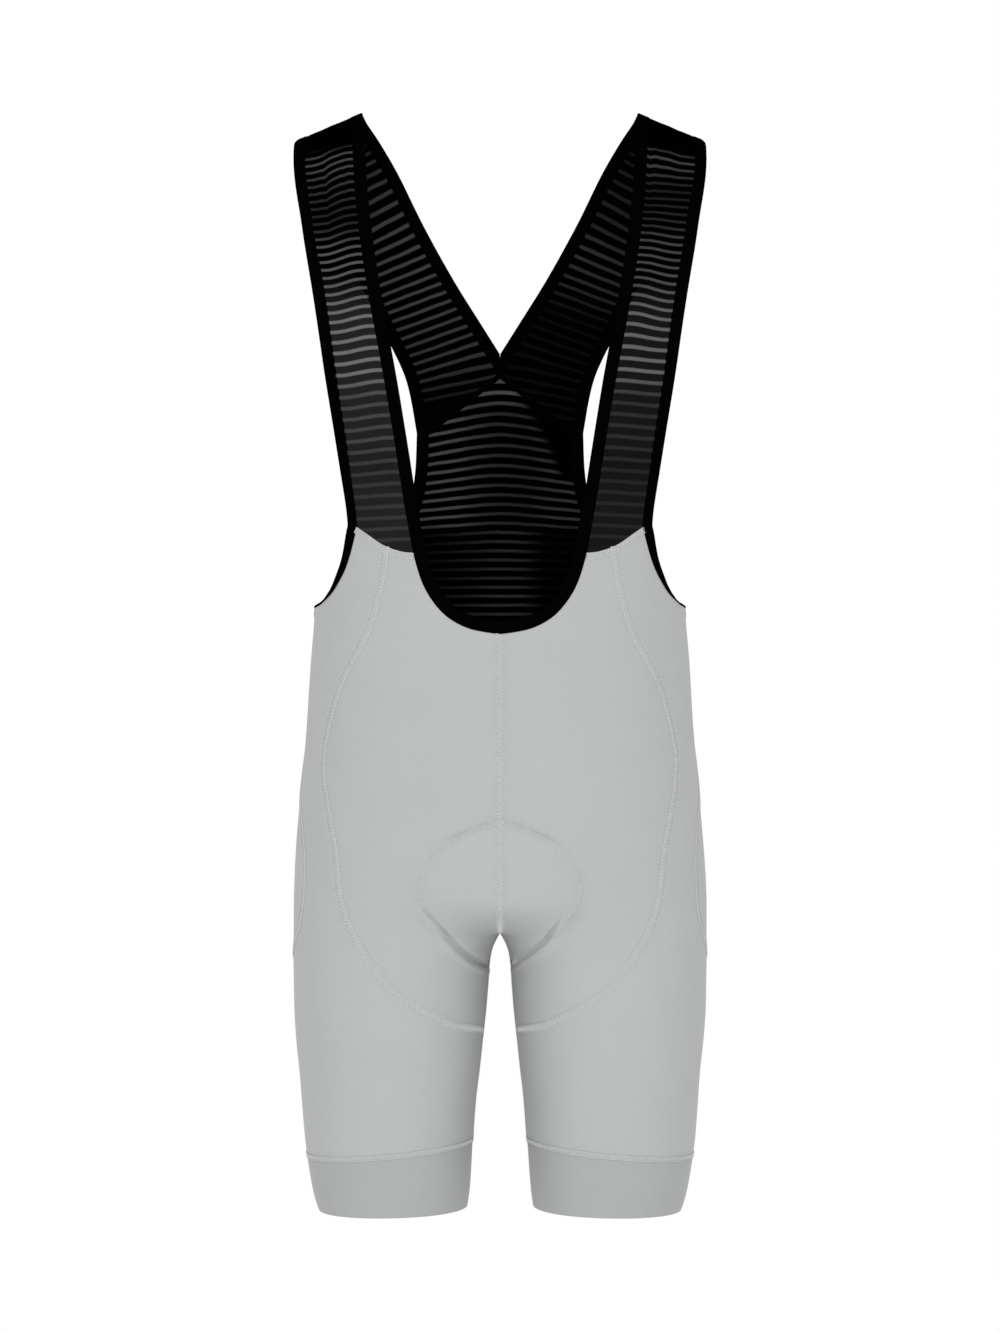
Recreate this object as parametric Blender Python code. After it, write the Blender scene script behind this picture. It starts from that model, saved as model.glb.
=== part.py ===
"""Cycling bib shorts in the hollow form they have when worn, with no wearer.

+Z is up, -Y is the garment's front and +X its left side. The origin lies midway between the shoulders, at the
height of the straps' crests, because the wearer's shoulders hold the garment up.

Every panel lies on one smooth general figure. A place on the shorts is (around, station): around runs from 0 at
the centre front, past 0.5 at the side, to 1 at the centre back, and below the crotch once round the leg from the
inner thigh and back to it. Station is the distance above the crotch, which is 0. A place on a strap is
(x, reach), where reach is the distance from the crest of the shoulder, down the chest or down the back.
"""
import math

import bmesh
import bpy
from mathutils import Vector

# Cloth, in metres
CLOTH = 0.0012  # wall of the knitted panels
MESH_CLOTH = 0.0010  # wall of the striped mesh
CUFF_CLOTH = 0.0014  # wall of the leg grippers
SEAM_GAP = 0.0003  # between neighbouring pieces
PAD_GAP = 0.0008  # between the seat pad and the cloth over it
BINDING_WIDTH = 0.010
BINDING_PROUD = 0.0005  # how far a binding stands out on each face of the cloth
PAD_LIFT = 0.004  # how far the seat pad pushes the cloth out
PAD_THICKNESS = 0.007

# Heights, from the shoulders down
CROTCH = -0.689
CUFF_SEAM = -0.8725
HEM = -0.9245
PAD_TOP = -0.600
SEAM_END = -0.773  # where the curved seams meet on the inner thigh
HIP = -0.560

# The crotch curve rises to the full depth of the torso over these heights
FRONT_RISE = 0.035
BACK_RISE = 0.070
THIGH_TOP = -0.745  # away from the centre the thigh starts to widen into the torso here
CENTRE_REACH = 0.22  # how far around from the centre lines the crotch's curve is felt

# Horizontal sections of the torso: half width at the side, depth to the front and to the back
TORSO_COLUMNS = ("height", "half_width", "front", "back")
TORSO = (
    (0.040, 0.260, 0.104, 0.085),
    (-0.050, 0.258, 0.108, 0.100),
    (-0.100, 0.250, 0.111, 0.109),
    (-0.150, 0.235, 0.112, 0.114),
    (-0.200, 0.205, 0.112, 0.115),
    (-0.250, 0.180, 0.110, 0.111),
    (-0.300, 0.165, 0.107, 0.104),
    (-0.345, 0.158, 0.104, 0.097),
    (-0.410, 0.1592, 0.102, 0.089),
    (-0.460, 0.1632, 0.102, 0.087),
    (-0.520, 0.1664, 0.104, 0.096),
    (-0.570, 0.1712, 0.105, 0.110),
    (-0.620, 0.1754, 0.104, 0.122),
    (-0.660, 0.1773, 0.101, 0.125),
    (-0.690, 0.1776, 0.098, 0.122),
)
TORSO_FULLNESS = 0.18  # how much squarer than an ellipse

# Horizontal sections of a leg: its outer and inner sides in x, its front and back in y
LEG_COLUMNS = ("height", "outer", "inner", "front", "back", "tilt")  # tilt: drop for each metre outwards
LEG = (
    (-0.689, 0.1776, 0.0000, -0.088, 0.100, 0.000),
    (-0.696, 0.1776, 0.0040, -0.089, 0.099, 0.000),
    (-0.704, 0.1776, 0.0073, -0.090, 0.098, 0.000),
    (-0.717, 0.1775, 0.0095, -0.090, 0.096, 0.000),
    (-0.730, 0.1772, 0.0102, -0.090, 0.094, 0.000),
    (-0.756, 0.1767, 0.0122, -0.089, 0.090, 0.000),
    (-0.782, 0.1750, 0.0150, -0.087, 0.086, 0.000),
    (-0.807, 0.1722, 0.0177, -0.084, 0.083, 0.020),
    (-0.833, 0.1699, 0.0208, -0.081, 0.079, 0.055),
    (-0.859, 0.1676, 0.0228, -0.078, 0.076, 0.085),
    (-0.885, 0.1641, 0.0243, -0.075, 0.073, 0.085),
    (-0.911, 0.1596, 0.0262, -0.071, 0.070, 0.045),
    (-0.930, 0.1540, 0.0290, -0.069, 0.068, 0.010),
)
LEG_FULLNESS = 0.08

# The crest of the shoulders, where the straps turn over, falls outwards
CREST_HEIGHT = 0.0105  # at CREST_X
CREST_X = 0.128
CREST_FALL = 0.415
CREST_DEPTH = {-1: 0.115, 1: 0.100}  # drop to the full depth of the chest (-1) and of the back (+1)

# Seams and cut edges of the left half, seen from the front as (x, height)
NECKLINE = (
    (0.0000, -0.4330),
    (0.0250, -0.4284),
    (0.0438, -0.4184),
    (0.0571, -0.4034),
    (0.0655, -0.3870),
    (0.0718, -0.3656),
)
STRAP_SEAM = (
    (0.0718, -0.3656),
    (0.0830, -0.3642),
    (0.0976, -0.3588),
    (0.1120, -0.3490),
    (0.1205, -0.3431),
)
FRONT_SEAM_X = 0.0955  # where the curved front seam meets the strap seam
FRONT_SEAM = (
    (0.1004, -0.392),
    (0.1120, -0.432),
    (0.1340, -0.474),
    (0.1474, -0.522),
    (0.1490, -0.557),
    (0.1392, -0.615),
    (0.1347, -0.655),
    (0.1262, -0.682),
    (0.1100, -0.7075),
    (0.0883, -0.733),
    (0.0620, -0.750),
    (0.0375, -0.764),
)
SWEEP_FRONT = -0.7075  # height where the front seam turns in under the thigh
ARMHOLE = (
    (0.1205, -0.3431),
    (0.1217, -0.3630),
    (0.1257, -0.3760),
    (0.1378, -0.3940),
    (0.1452, -0.4020),
    (0.1535, -0.4075),
)
ARMHOLE_SIDE = -0.4094  # height of the armhole's edge at the side of the body

# Seams of the left half seen from the side and the back, as (around, height)
BACK_SEAM = (
    (0.585, -0.426),
    (0.555, -0.490),
    (0.500, -0.560),
    (0.455, -0.580),
    (0.415, -0.603),
    (0.397, -0.632),
    (0.411, -0.665),
    (0.450, -0.690),
    (0.500, -0.706),
    (0.600, -0.724),
    (0.720, -0.742),
    (0.860, -0.759),
    (1.000, SEAM_END),
)
SWEEP_BACK = -0.706
WAIST_BACK = (
    (0.500, ARMHOLE_SIDE),
    (0.585, -0.426),
    (0.700, -0.447),
    (0.850, -0.465),
    (1.000, -0.470),
)

# Edge of the back mesh and edges of the straps, as (x, height). The bindings lie outside them
BACK_ARMHOLE = (
    (0.1545, -0.4065),
    (0.1360, -0.3960),
    (0.1080, -0.3760),
    (0.0850, -0.3500),
    (0.0710, -0.3200),
    (0.0655, -0.2900),
    (0.0640, -0.2529),
)
BACK_APEX = -0.2013  # top of the back mesh, at the centre
STRAP_COLUMNS = ("outer_x", "outer_height", "inner_x", "inner_height")
FRONT_STRAP = (
    (0.1668, -0.0050, 0.1281, 0.0107),
    (0.1650, -0.0378, 0.1231, -0.0269),
    (0.1566, -0.0903, 0.1188, -0.0803),
    (0.1467, -0.1516, 0.1101, -0.1431),
    (0.1365, -0.2274, 0.0959, -0.2215),
    (0.1285, -0.2830, 0.0868, -0.2766),
    (0.1221, -0.3251, 0.0801, -0.3192),
    (0.1205, -0.3431, 0.0718, -0.3656),
)
BACK_STRAP = (
    (0.1668, -0.0050, 0.1281, 0.0107),
    (0.1646, -0.0106, 0.1243, 0.0059),
    (0.1580, -0.0271, 0.1132, -0.0083),
    (0.1409, -0.0617, 0.0968, -0.0348),
    (0.1205, -0.1045, 0.0774, -0.0731),
    (0.0975, -0.1530, 0.0502, -0.1216),
    (0.0746, -0.2015, 0.0251, -0.1616),
    (0.0640, -0.2529, 0.0000, -0.2013),
)

# The seat pad bulges the cloth inside this outline, as (height, half width)
PAD_FRONT = ((-0.585, 0.0), (-0.605, 0.045), (-0.640, 0.068), (-0.668, 0.064), (-0.700, 0.036), (-0.722, 0.0))
PAD_BACK = ((-0.560, 0.0), (-0.590, 0.070), (-0.635, 0.088), (-0.672, 0.078), (-0.705, 0.045), (-0.726, 0.0))
PAD_EDGE = 0.022  # width over which the bulge fades

# How finely the pieces are divided
ROWS_CHEST, ROWS_CROTCH, ROWS_THIGH, ROWS_CUFF = 5, 6, 4, 2
INSEAM_ROWS = (0.0, 0.14, 0.5, 1.0)  # down the inseam from the crotch, as shares of its length
ROWS_INSEAM = len(INSEAM_ROWS) - 1
ROWS_TO_SWEEP = ROWS_CHEST + ROWS_CROTCH + ROWS_INSEAM
COLUMNS_NECK, COLUMNS_STRAP_FRONT, COLUMNS_STRAP_SIDE = 6, 2, 3
COLUMNS_ARMHOLE, COLUMNS_WAIST_SIDE = 8, 3
COLUMNS_PANEL = COLUMNS_NECK + COLUMNS_STRAP_FRONT
ROWS_FRONT_STRAP, ROWS_BACK_STRAP, ROWS_BACK = 10, 10, 8
PAD_COLUMNS_FRONT, PAD_COLUMNS_BACK = 3, 3

CROTCH_SLOPE = 0.45  # of the cloth where the two legs meet, down for each metre in
SMALL = 1e-3  # step for tangents, as a share of the way around and in metres
MOST_MITRE, CLEAR_MITRE, MOST_REACH = 2.5, 1.5, 6.0

GREY = ((0.50, 0.52, 0.51, 1), 0.75)
CUFF_GREY = ((0.45, 0.47, 0.46, 1), 0.7)
BLACK = ((0.012, 0.012, 0.013, 1), 0.65)
MESH_BLACK = ((0.03, 0.03, 0.032, 1), 0.8)
PAD_GREY = ((0.16, 0.16, 0.17, 1), 0.9)


def mix(a, b, share):
    return a + (b - a) * share


def ease(share):
    share = min(1.0, max(0.0, share))
    return share * share * (3 - 2 * share)


def hermite(p0, p1, slope0, slope1, share):
    """The cubic from p0 to p1 with these slopes per whole span."""
    s2, s3 = share * share, share * share * share
    return (
        (2 * s3 - 3 * s2 + 1) * p0
        + (s3 - 2 * s2 + share) * slope0
        + (3 * s2 - 2 * s3) * p1
        + (s3 - s2) * slope1
    )


def section(table, height):
    """The table's row at this height, each column on a smooth curve through its rows."""
    last = len(table) - 2
    i = next((k for k in range(last) if table[k + 1][0] <= height), last)
    low, high = max(i - 1, 0), min(i + 2, len(table) - 1)
    span = table[i + 1][0] - table[i][0]
    share = min(1.0, max(0.0, (height - table[i][0]) / span))
    values = []
    for column in range(1, len(table[0])):
        y = [table[k][column] for k in (low, i, i + 1, high)]
        slope0 = (y[2] - y[0]) / (table[i + 1][0] - table[low][0]) * span
        slope1 = (y[3] - y[1]) / (table[high][0] - table[i][0]) * span
        values.append(hermite(y[1], y[2], slope0, slope1, share))
    return values


def curve_through(points, per_span=10):
    """A dense line of points on the smooth curve through these."""
    line = []
    for i in range(len(points) - 1):
        before, after = points[max(i - 1, 0)], points[min(i + 2, len(points) - 1)]
        for k in range(per_span):
            line.append(
                tuple(
                    hermite(p0, p1, (p1 - a) / 2, (b - p0) / 2, k / per_span)
                    for a, p0, p1, b in zip(before, points[i], points[i + 1], after)
                )
            )
    return line + [tuple(points[-1])]


def crossing(line, value, known, wanted):
    """The wanted coordinate where the line's known coordinate has this value."""
    for a, b in zip(line, line[1:]):
        if min(a[known], b[known]) <= value <= max(a[known], b[known]) and a[known] != b[known]:
            return mix(a[wanted], b[wanted], (value - a[known]) / (b[known] - a[known]))
    return min(line, key=lambda p: abs(p[known] - value))[wanted]


def evenly(start, end, count):
    """count values from start towards end, without the end itself."""
    return [mix(start, end, k / count) for k in range(count)]


# The figure below the straps


def centre_share(around):
    """1 on the centre lines, falling to 0 away from them."""
    return 1 - ease(min(around, 1 - around) / CENTRE_REACH)


def height_of(around, station):
    """At the centre the stations follow the crotch's curve, and away from it they only run downwards."""
    if station <= 0:
        return CROTCH + station
    rise = BACK_RISE + station - BACK_RISE * math.pi / 2
    turn = station / BACK_RISE
    if turn >= math.pi / 2:
        return CROTCH + rise
    curved, straight = BACK_RISE * (1 - math.cos(turn)), BACK_RISE * turn * 2 / math.pi
    return CROTCH + mix(straight, curved, centre_share(around))


def station_of(height, around=0.0):
    rise = height - CROTCH
    if rise <= 0:
        return rise
    if rise >= BACK_RISE:
        return rise - BACK_RISE + BACK_RISE * math.pi / 2
    low, high = 0.0, BACK_RISE * math.pi / 2
    for _ in range(40):
        middle = (low + high) / 2
        if height_of(around, middle) < height:
            low = middle
        else:
            high = middle
    return low


def torso_share(around, height):
    """How much of the figure's section here is the torso's. The rest is the leg's."""
    rise = max(0.0, (height - CROTCH) / FRONT_RISE)
    front = math.sqrt(1 - (1 - min(1.0, rise)) ** 2)
    rise = max(0.0, (height - CROTCH) / BACK_RISE)
    back = math.sqrt(1 - (1 - min(1.0, rise)) ** 2)
    soft = ease((height - THIGH_TOP) / (CROTCH + BACK_RISE - THIGH_TOP))
    return mix(soft, mix(front, back, ease(around)), centre_share(around))


def pad_bulge(x, height, outline):
    """How far the pad lifts the cloth here."""
    if not outline[-1][0] < height < outline[0][0]:
        return 0.0
    half_width = crossing(outline, height, 0, 1)
    near_end = min(outline[0][0] - height, height - outline[-1][0])
    inside = min(half_width - abs(x), near_end)
    return PAD_LIFT * ease(0.5 + inside / PAD_EDGE)


def torso_point(around, height):
    half_width, front, back = section(TORSO, height)
    angle = math.pi * around
    fullness = 1 + TORSO_FULLNESS * math.sin(angle) ** 2
    depth = front if around < 0.5 else back
    return Vector((half_width * math.sin(angle), -depth * math.cos(angle) * fullness, height))


def leg_point(around, height):
    outer, inner, front, back, tilt = section(LEG, height)
    angle = 2 * math.pi * around
    centre, half_width = (outer + inner) / 2, (outer - inner) / 2
    fullness = 1 + LEG_FULLNESS * math.cos(angle) ** 2
    side = math.sin(angle) * fullness
    x = centre - half_width * math.cos(angle)
    y = front * side if side > 0 else -back * side
    return Vector((x, y, height - tilt * (x - centre)))


def figure_at(around, height):
    """The point of the left half's outer surface here."""
    around = around % 1.0 if height <= CROTCH else around
    share = torso_share(around, height)
    point = leg_point(around, min(height, CROTCH))
    if share:
        torso = torso_point(around, height)
        point = Vector((mix(point.x, torso.x, share), mix(point.y, torso.y, share), point.z))
    if height > CROTCH:
        point.z = height
    if point.y < 0:
        point.y -= pad_bulge(point.x, point.z, PAD_FRONT)
    else:
        point.y += pad_bulge(point.x, point.z, PAD_BACK)
    return point


def figure(around, station):
    return figure_at(around, height_of(around % 1.0 if station <= 0 else around, station))


def sample(around, station):
    """(point, outward normal) of the figure."""
    at_centre = around in (0.0, 1.0)
    if at_centre and abs(station) < SMALL:
        return figure(around, 0.0), Vector((-1, 0, -CROTCH_SLOPE)).normalized()
    before, after = around - SMALL, around + SMALL
    if station > 0:
        before, after = max(before, 0.0), min(after, 1.0)
    along = figure(after, station) - figure(before, station)
    up = figure(around, station + SMALL) - figure(around, station - SMALL)
    normal = along.cross(up).normalized()
    if at_centre and normal.x > 0:
        normal.x = 0.0
    return figure(around, station), normal.normalized()


def around_of(x, height, back=False):
    """How far around the figure is this x, on its front or its back half."""
    near, far = (1.0, 0.5) if back else (0.0, 0.5)
    for _ in range(40):
        middle = (near + far) / 2
        if figure_at(middle, height).x < x:
            near = middle
        else:
            far = middle
    return near


def place_of(x, height, back=False):
    """The (around, station) of this x and height, on the figure's front or its back half."""
    around = around_of(x, height, back)
    return around, station_of(height, around)


# The figure under the straps


def crest_height(x):
    return CREST_HEIGHT - CREST_FALL * (x - CREST_X)


def reach_of(x, height, side):
    """The distance from the crest to this height, over the shoulder and down the chest or back."""
    drop, depth = max(0.0, crest_height(x) - height), CREST_DEPTH[side]
    if drop >= depth:
        return depth * (math.pi / 2 - 1) + drop
    return depth * math.acos(1 - drop / depth)


def shoulder_point(x, reach, side):
    depth = CREST_DEPTH[side]
    turn = min(reach / depth, math.pi / 2)
    drop = depth * (1 - math.cos(turn)) + max(0.0, reach - depth * math.pi / 2)
    height = crest_height(x) - drop
    half_width, front, back = section(TORSO, height)
    angle = math.asin(min(1.0, x / half_width))
    fullness = 1 + TORSO_FULLNESS * math.sin(angle) ** 2
    full = (front if side < 0 else back) * math.cos(angle) * fullness
    return Vector((x, side * full * math.sin(turn), height))


def shoulder_sample(x, reach, side):
    across = shoulder_point(x + SMALL, reach, side) - shoulder_point(x - SMALL, reach, side)
    up = shoulder_point(x, max(0.0, reach - SMALL), side) - shoulder_point(x, reach + SMALL, side)
    return shoulder_point(x, reach, side), (across.cross(up) * -side).normalized()


# Seams of the left half as lines of (around, station)


def on_front(points):
    return [place_of(x, z) for x, z in curve_through(points)]


def on_side(points):
    return [(around, station_of(z, around)) for around, z in curve_through(points)]


def seams():
    """The left half's seams and edges by name, each a dense line of (around, station)."""
    side_point = (0.5, station_of(ARMHOLE_SIDE))
    strap_seam = on_front(STRAP_SEAM)
    top = (FRONT_SEAM_X, crossing(curve_through(STRAP_SEAM), FRONT_SEAM_X, 0, 1))
    return {
        "neckline": on_front(NECKLINE),
        "strap_seam": strap_seam,
        "front_seam": on_front((top,) + FRONT_SEAM) + [(0.0, station_of(SEAM_END))],
        "armhole": on_front(ARMHOLE) + [side_point],
        "back_seam": on_side(BACK_SEAM),
        "waist": on_side(WAIST_BACK),
    }


def level(line, stations):
    """Where the line is at each station, as (around, station)."""
    return [(crossing(line, v, 1, 0), v) for v in stations]


def ruled(left, right, shares, top=None, bottom=None, fade=5):
    """Rows of (around, station) from the left line to the right one. The first row takes the top line's
    stations and the last row the bottom line's, and the rows near them follow, less and less."""
    count = len(left) - 1
    rows = []
    for i, (a, b) in enumerate(zip(left, right)):
        row = []
        for j, share in enumerate(shares):
            station = mix(a[1], b[1], share)
            if top:
                bend = top[j] - mix(left[0][1], right[0][1], share)
                station += bend * max(0.0, 1 - i / fade) ** 2
            if bottom:
                bend = bottom[j] - mix(left[-1][1], right[-1][1], share)
                station += bend * max(0.0, 1 - (count - i) / fade) ** 2
            row.append((mix(a[0], b[0], share), station))
        rows.append(row)
    return rows


def on_figure(rows):
    return [[sample(*place) for place in row] for row in rows]


# Panels of the left half, as rows of (point, normal)


def centre_stations(top):
    """Stations down a centre line from this height, under the crotch and down the inseam."""
    pad_top = station_of(PAD_TOP)
    down = evenly(station_of(top), pad_top, ROWS_CHEST)
    down += evenly(pad_top, 0.0, ROWS_CROTCH)
    return down + [station_of(SEAM_END) * share for share in INSEAM_ROWS]


def seam_stations(top, end):
    """Stations down a curved seam, from its top to where it turns in under the thigh."""
    hip = station_of(HIP)
    below = ROWS_TO_SWEEP - ROWS_CHEST
    return evenly(top, hip, ROWS_CHEST) + evenly(hip, station_of(end), below) + [station_of(end)]


def front_panel(lines):
    """Rows of the front panel, from its neckline and strap seam down to the curved seam's sweep."""
    corner, seam_top = lines["strap_seam"][0][0], lines["front_seam"][0][0]
    arounds = evenly(0.0, corner, COLUMNS_NECK)
    arounds += evenly(corner, seam_top, COLUMNS_STRAP_FRONT) + [seam_top]
    shares = [around / seam_top for around in arounds]
    top = [crossing(lines["neckline"], around, 0, 1) for around in arounds[:COLUMNS_NECK]]
    top += [crossing(lines["strap_seam"], around, 0, 1) for around in arounds[COLUMNS_NECK:]]
    left = [(0.0, v) for v in centre_stations(NECKLINE[0][1])]
    right = level(lines["front_seam"], seam_stations(lines["front_seam"][0][1], SWEEP_FRONT))
    sweep = [p for p in lines["front_seam"] if p[1] <= right[-1][1] + SMALL]
    bottom = [crossing(sweep, right[-1][0] * share, 0, 1) for share in shares]
    return ruled(left, right, shares, top, bottom)


def seat_panel(lines):
    """Rows of the back panel, from the waist down to the back seam's sweep."""
    start = lines["back_seam"][0]
    shares = [k / COLUMNS_PANEL for k in range(COLUMNS_PANEL + 1)]
    top = [crossing(lines["waist"], mix(start[0], 1.0, share), 0, 1) for share in shares]
    left = level(lines["back_seam"], seam_stations(start[1], SWEEP_BACK))
    right = [(1.0, v) for v in centre_stations(WAIST_BACK[-1][1])]
    sweep = [p for p in lines["back_seam"] if p[1] <= left[-1][1] + SMALL]
    bottom = [crossing(sweep, mix(left[-1][0], 1.0, share), 0, 1) for share in shares]
    return ruled(left, right, shares, top, bottom)


def side_panel(lines, front, seat):
    """Rows of the side panel, which widens below the hip until it goes round the thigh."""
    seam_top, ear, waist = front[0][-1], lines["armhole"][0][0], seat[0][0]
    arounds = evenly(seam_top[0], ear, COLUMNS_STRAP_SIDE)
    arounds += evenly(ear, 0.5, COLUMNS_ARMHOLE)
    arounds += evenly(0.5, waist[0], COLUMNS_WAIST_SIDE) + [waist[0]]
    shares = [(around - seam_top[0]) / (waist[0] - seam_top[0]) for around in arounds]
    to_side = COLUMNS_STRAP_SIDE + COLUMNS_ARMHOLE
    top = [crossing(lines["strap_seam"], around, 0, 1) for around in arounds[:COLUMNS_STRAP_SIDE]]
    top += [crossing(lines["armhole"], around, 0, 1) for around in arounds[COLUMNS_STRAP_SIDE:to_side]]
    top += [crossing(lines["waist"], around, 0, 1) for around in arounds[to_side:]]
    end = station_of(SEAM_END)
    thigh = evenly(end, station_of(CUFF_SEAM), ROWS_THIGH)[1:] + [station_of(CUFF_SEAM)]
    left = [row[-1] for row in front] + front[-1][-2::-1] + [(0.0, v) for v in thigh]
    right = [row[0] for row in seat] + seat[-1][1:] + [(1.0, v) for v in thigh]
    return ruled(left, right, shares, top)


def cuff(side):
    """Rows of the leg gripper, once round the leg on the side panel's own columns."""
    stations = evenly(station_of(CUFF_SEAM), station_of(HEM), ROWS_CUFF) + [station_of(HEM)]
    return [[(around, v) for around, _ in side[-1]] for v in stations]


def back_mesh(lines, seat, side):
    """Rows of one half of the back mesh, from the waist up to the strap seam."""
    waist_side = side[0][-1 - COLUMNS_WAIST_SIDE : -1]
    bottom = waist_side + seat[0]
    shares = [(around - 0.5) / 0.5 for around, _ in bottom]
    edge_line = [(0.5, station_of(ARMHOLE_SIDE))]
    edge_line += [place_of(x, z, True) for x, z in curve_through(BACK_ARMHOLE)]
    edge = spaced(edge_line, ROWS_BACK)
    centre_bottom, centre_top = seat[0][-1][1], station_of(BACK_APEX)
    centre = [(1.0, mix(centre_bottom, centre_top, k / ROWS_BACK)) for k in range(ROWS_BACK + 1)]
    apex_x, apex_z = 0.0, BACK_APEX
    edge_x, edge_z = BACK_ARMHOLE[-1]
    top = []
    for share in shares:
        around, station = mix(edge[-1][0], 1.0, share), edge[-1][1]
        for _ in range(8):
            x = figure(around, station).x
            station = station_of(mix(apex_z, edge_z, (x - apex_x) / (edge_x - apex_x)))
        top.append(station)
    return ruled(edge, centre, shares, [station for _, station in bottom], top, ROWS_BACK)


def spaced(line, count):
    """count + 1 places along a line of (around, station), evenly spaced on the figure."""
    points = [figure(*place) for place in line]
    along = [0.0]
    for a, b in zip(points, points[1:]):
        along.append(along[-1] + (b - a).length)
    marked = [(s, around, station) for s, (around, station) in zip(along, line)]
    steps = [along[-1] * k / count for k in range(count + 1)]
    return [(crossing(marked, s, 0, 1), crossing(marked, s, 0, 2)) for s in steps]


def strap(table, side, rows, shares, end=None):
    """Rows of (point, normal) of a strap from the crest down, each from its outer to its inner edge."""
    outer = curve_through([(x, reach_of(x, z, side)) for x, z, _, _ in table])
    inner = curve_through([(x, reach_of(x, z, side)) for _, _, x, z in table])
    samples = []
    for i in range(rows + 1):
        at = i / rows * (len(outer) - 1)
        k = min(int(at), len(outer) - 2)
        a = [mix(p, q, at - k) for p, q in zip(outer[k], outer[k + 1])]
        b = [mix(p, q, at - k) for p, q in zip(inner[k], inner[k + 1])]
        row = []
        for j, share in enumerate(shares):
            x, reach = mix(a[0], b[0], share), mix(a[1], b[1], share)
            if end:
                pull = max(0.0, 1 - (rows - i) / 3) ** 2
                x += pull * (end[j][0] - mix(outer[-1][0], inner[-1][0], share))
                reach += pull * (end[j][1] - mix(outer[-1][1], inner[-1][1], share))
            row.append(shoulder_sample(x, reach, side))
        samples.append(row)
    return samples


def strap_end(front, side):
    """The front strap's last row on the panels' own points, from its outer edge in, as (x, reach)."""
    places = side[0][COLUMNS_STRAP_SIDE:0:-1] + front[0][: COLUMNS_NECK - 1 : -1]
    points = [figure(*place) for place in places]
    return [(p.x, reach_of(p.x, p.z, -1)) for p in points]


# Solids


def mirrored(samples):
    flip = Vector((-1, 1, 1))
    return [(point * flip, normal * flip) for point, normal in samples]


def cells(rows):
    """The four samples round each cell of the rows."""
    return [
        (a[j], a[j + 1], b[j + 1], b[j])
        for a, b in zip(rows, rows[1:])
        for j in range(len(a) - 1)
    ]


def shell(name, quads, outside, inside, finish, clear=False):
    """A closed wall on these cells, from outside metres above the figure to inside metres below it. Its
    edges are drawn in by half a seam gap. A clear wall keeps these distances from the flat cells too."""
    places, points, normals, triangles = {}, [], [], []
    for quad in quads:
        index = []
        for point, normal in quad:
            key = tuple(round(c, 5) + 0.0 for c in point)
            if key not in places:
                places[key] = len(points)
                points.append(point)
                normals.append([])
            normals[places[key]].append(normal)
            index.append(places[key])
        facing = (points[index[2]] - points[index[0]]).cross(points[index[3]] - points[index[1]])
        if facing.dot(quad[0][1] + quad[2][1]) < 0:
            index = [index[0], index[3], index[2], index[1]]
        one = (points[index[2]] - points[index[0]]).length
        other = (points[index[3]] - points[index[1]]).length
        for corner in ((0, 1, 3), (1, 2, 3)) if other < one * 0.97 else ((0, 1, 2), (0, 2, 3)):
            triangle = [index[k] for k in corner]
            if len(set(triangle)) == 3:
                triangles.append(triangle)
    if clear:
        flats = [(points[b] - points[a]).cross(points[c] - points[a]).normalized() for a, b, c in triangles]
        flats_at = [[flat for flat, t in zip(flats, triangles) if k in t] for k in range(len(points))]
    outward, reach = [], []
    for k, found in enumerate(normals):
        mean = sum(found, Vector()).normalized()
        least = min(mean.dot(n) for n in found + (flats_at[k] if clear else []))
        outward.append(mean / max(least, 1 / (CLEAR_MITRE if clear else MOST_MITRE)))
        reach.append(mean / max(least, 1 / MOST_REACH))
    edges = {(t[k], t[(k + 1) % 3]) for t in triangles for k in range(3)}
    rim = sorted(edge for edge in edges if edge[::-1] not in edges)
    points = drawn_in(points, outward, rim)
    count = len(points)
    vertices = [p + n * outside for p, n in zip(points, reach)]
    vertices += [p - n * (inside + outside) for p, n in zip(vertices, outward)]
    faces = triangles + [[count + k for k in reversed(t)] for t in triangles]
    for a, b in rim:
        faces += [[b, a, count + a], [b, count + a, count + b]]
    return solid(name, vertices, faces, finish)


def drawn_in(points, outward, rim):
    """The points, with those on the rim moved into the surface by half a seam gap."""
    inwards = {}
    for a, b in rim:
        normal = outward[a] + outward[b]
        inward = normal.cross(points[b] - points[a]).normalized()
        inwards.setdefault(a, []).append(inward)
        inwards.setdefault(b, []).append(inward)
    moved = list(points)
    for k, found in inwards.items():
        mean = sum(found, Vector()).normalized()
        least = min(mean.dot(n) for n in found)
        moved[k] = points[k] + mean * (SEAM_GAP / 2) / max(least, 1 / MOST_MITRE)
    return moved


def solid(name, vertices, faces, finish):
    mesh = bpy.data.meshes.new(name)
    mesh.from_pydata([tuple(v) for v in vertices], [], faces)
    mesh.validate()
    mesh.shade_smooth()
    mesh.set_sharp_from_angle(angle=math.radians(40))
    thing = bpy.data.objects.new(name, mesh)
    bpy.context.scene.collection.objects.link(thing)
    mesh.materials.append(finish)
    return thing


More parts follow.
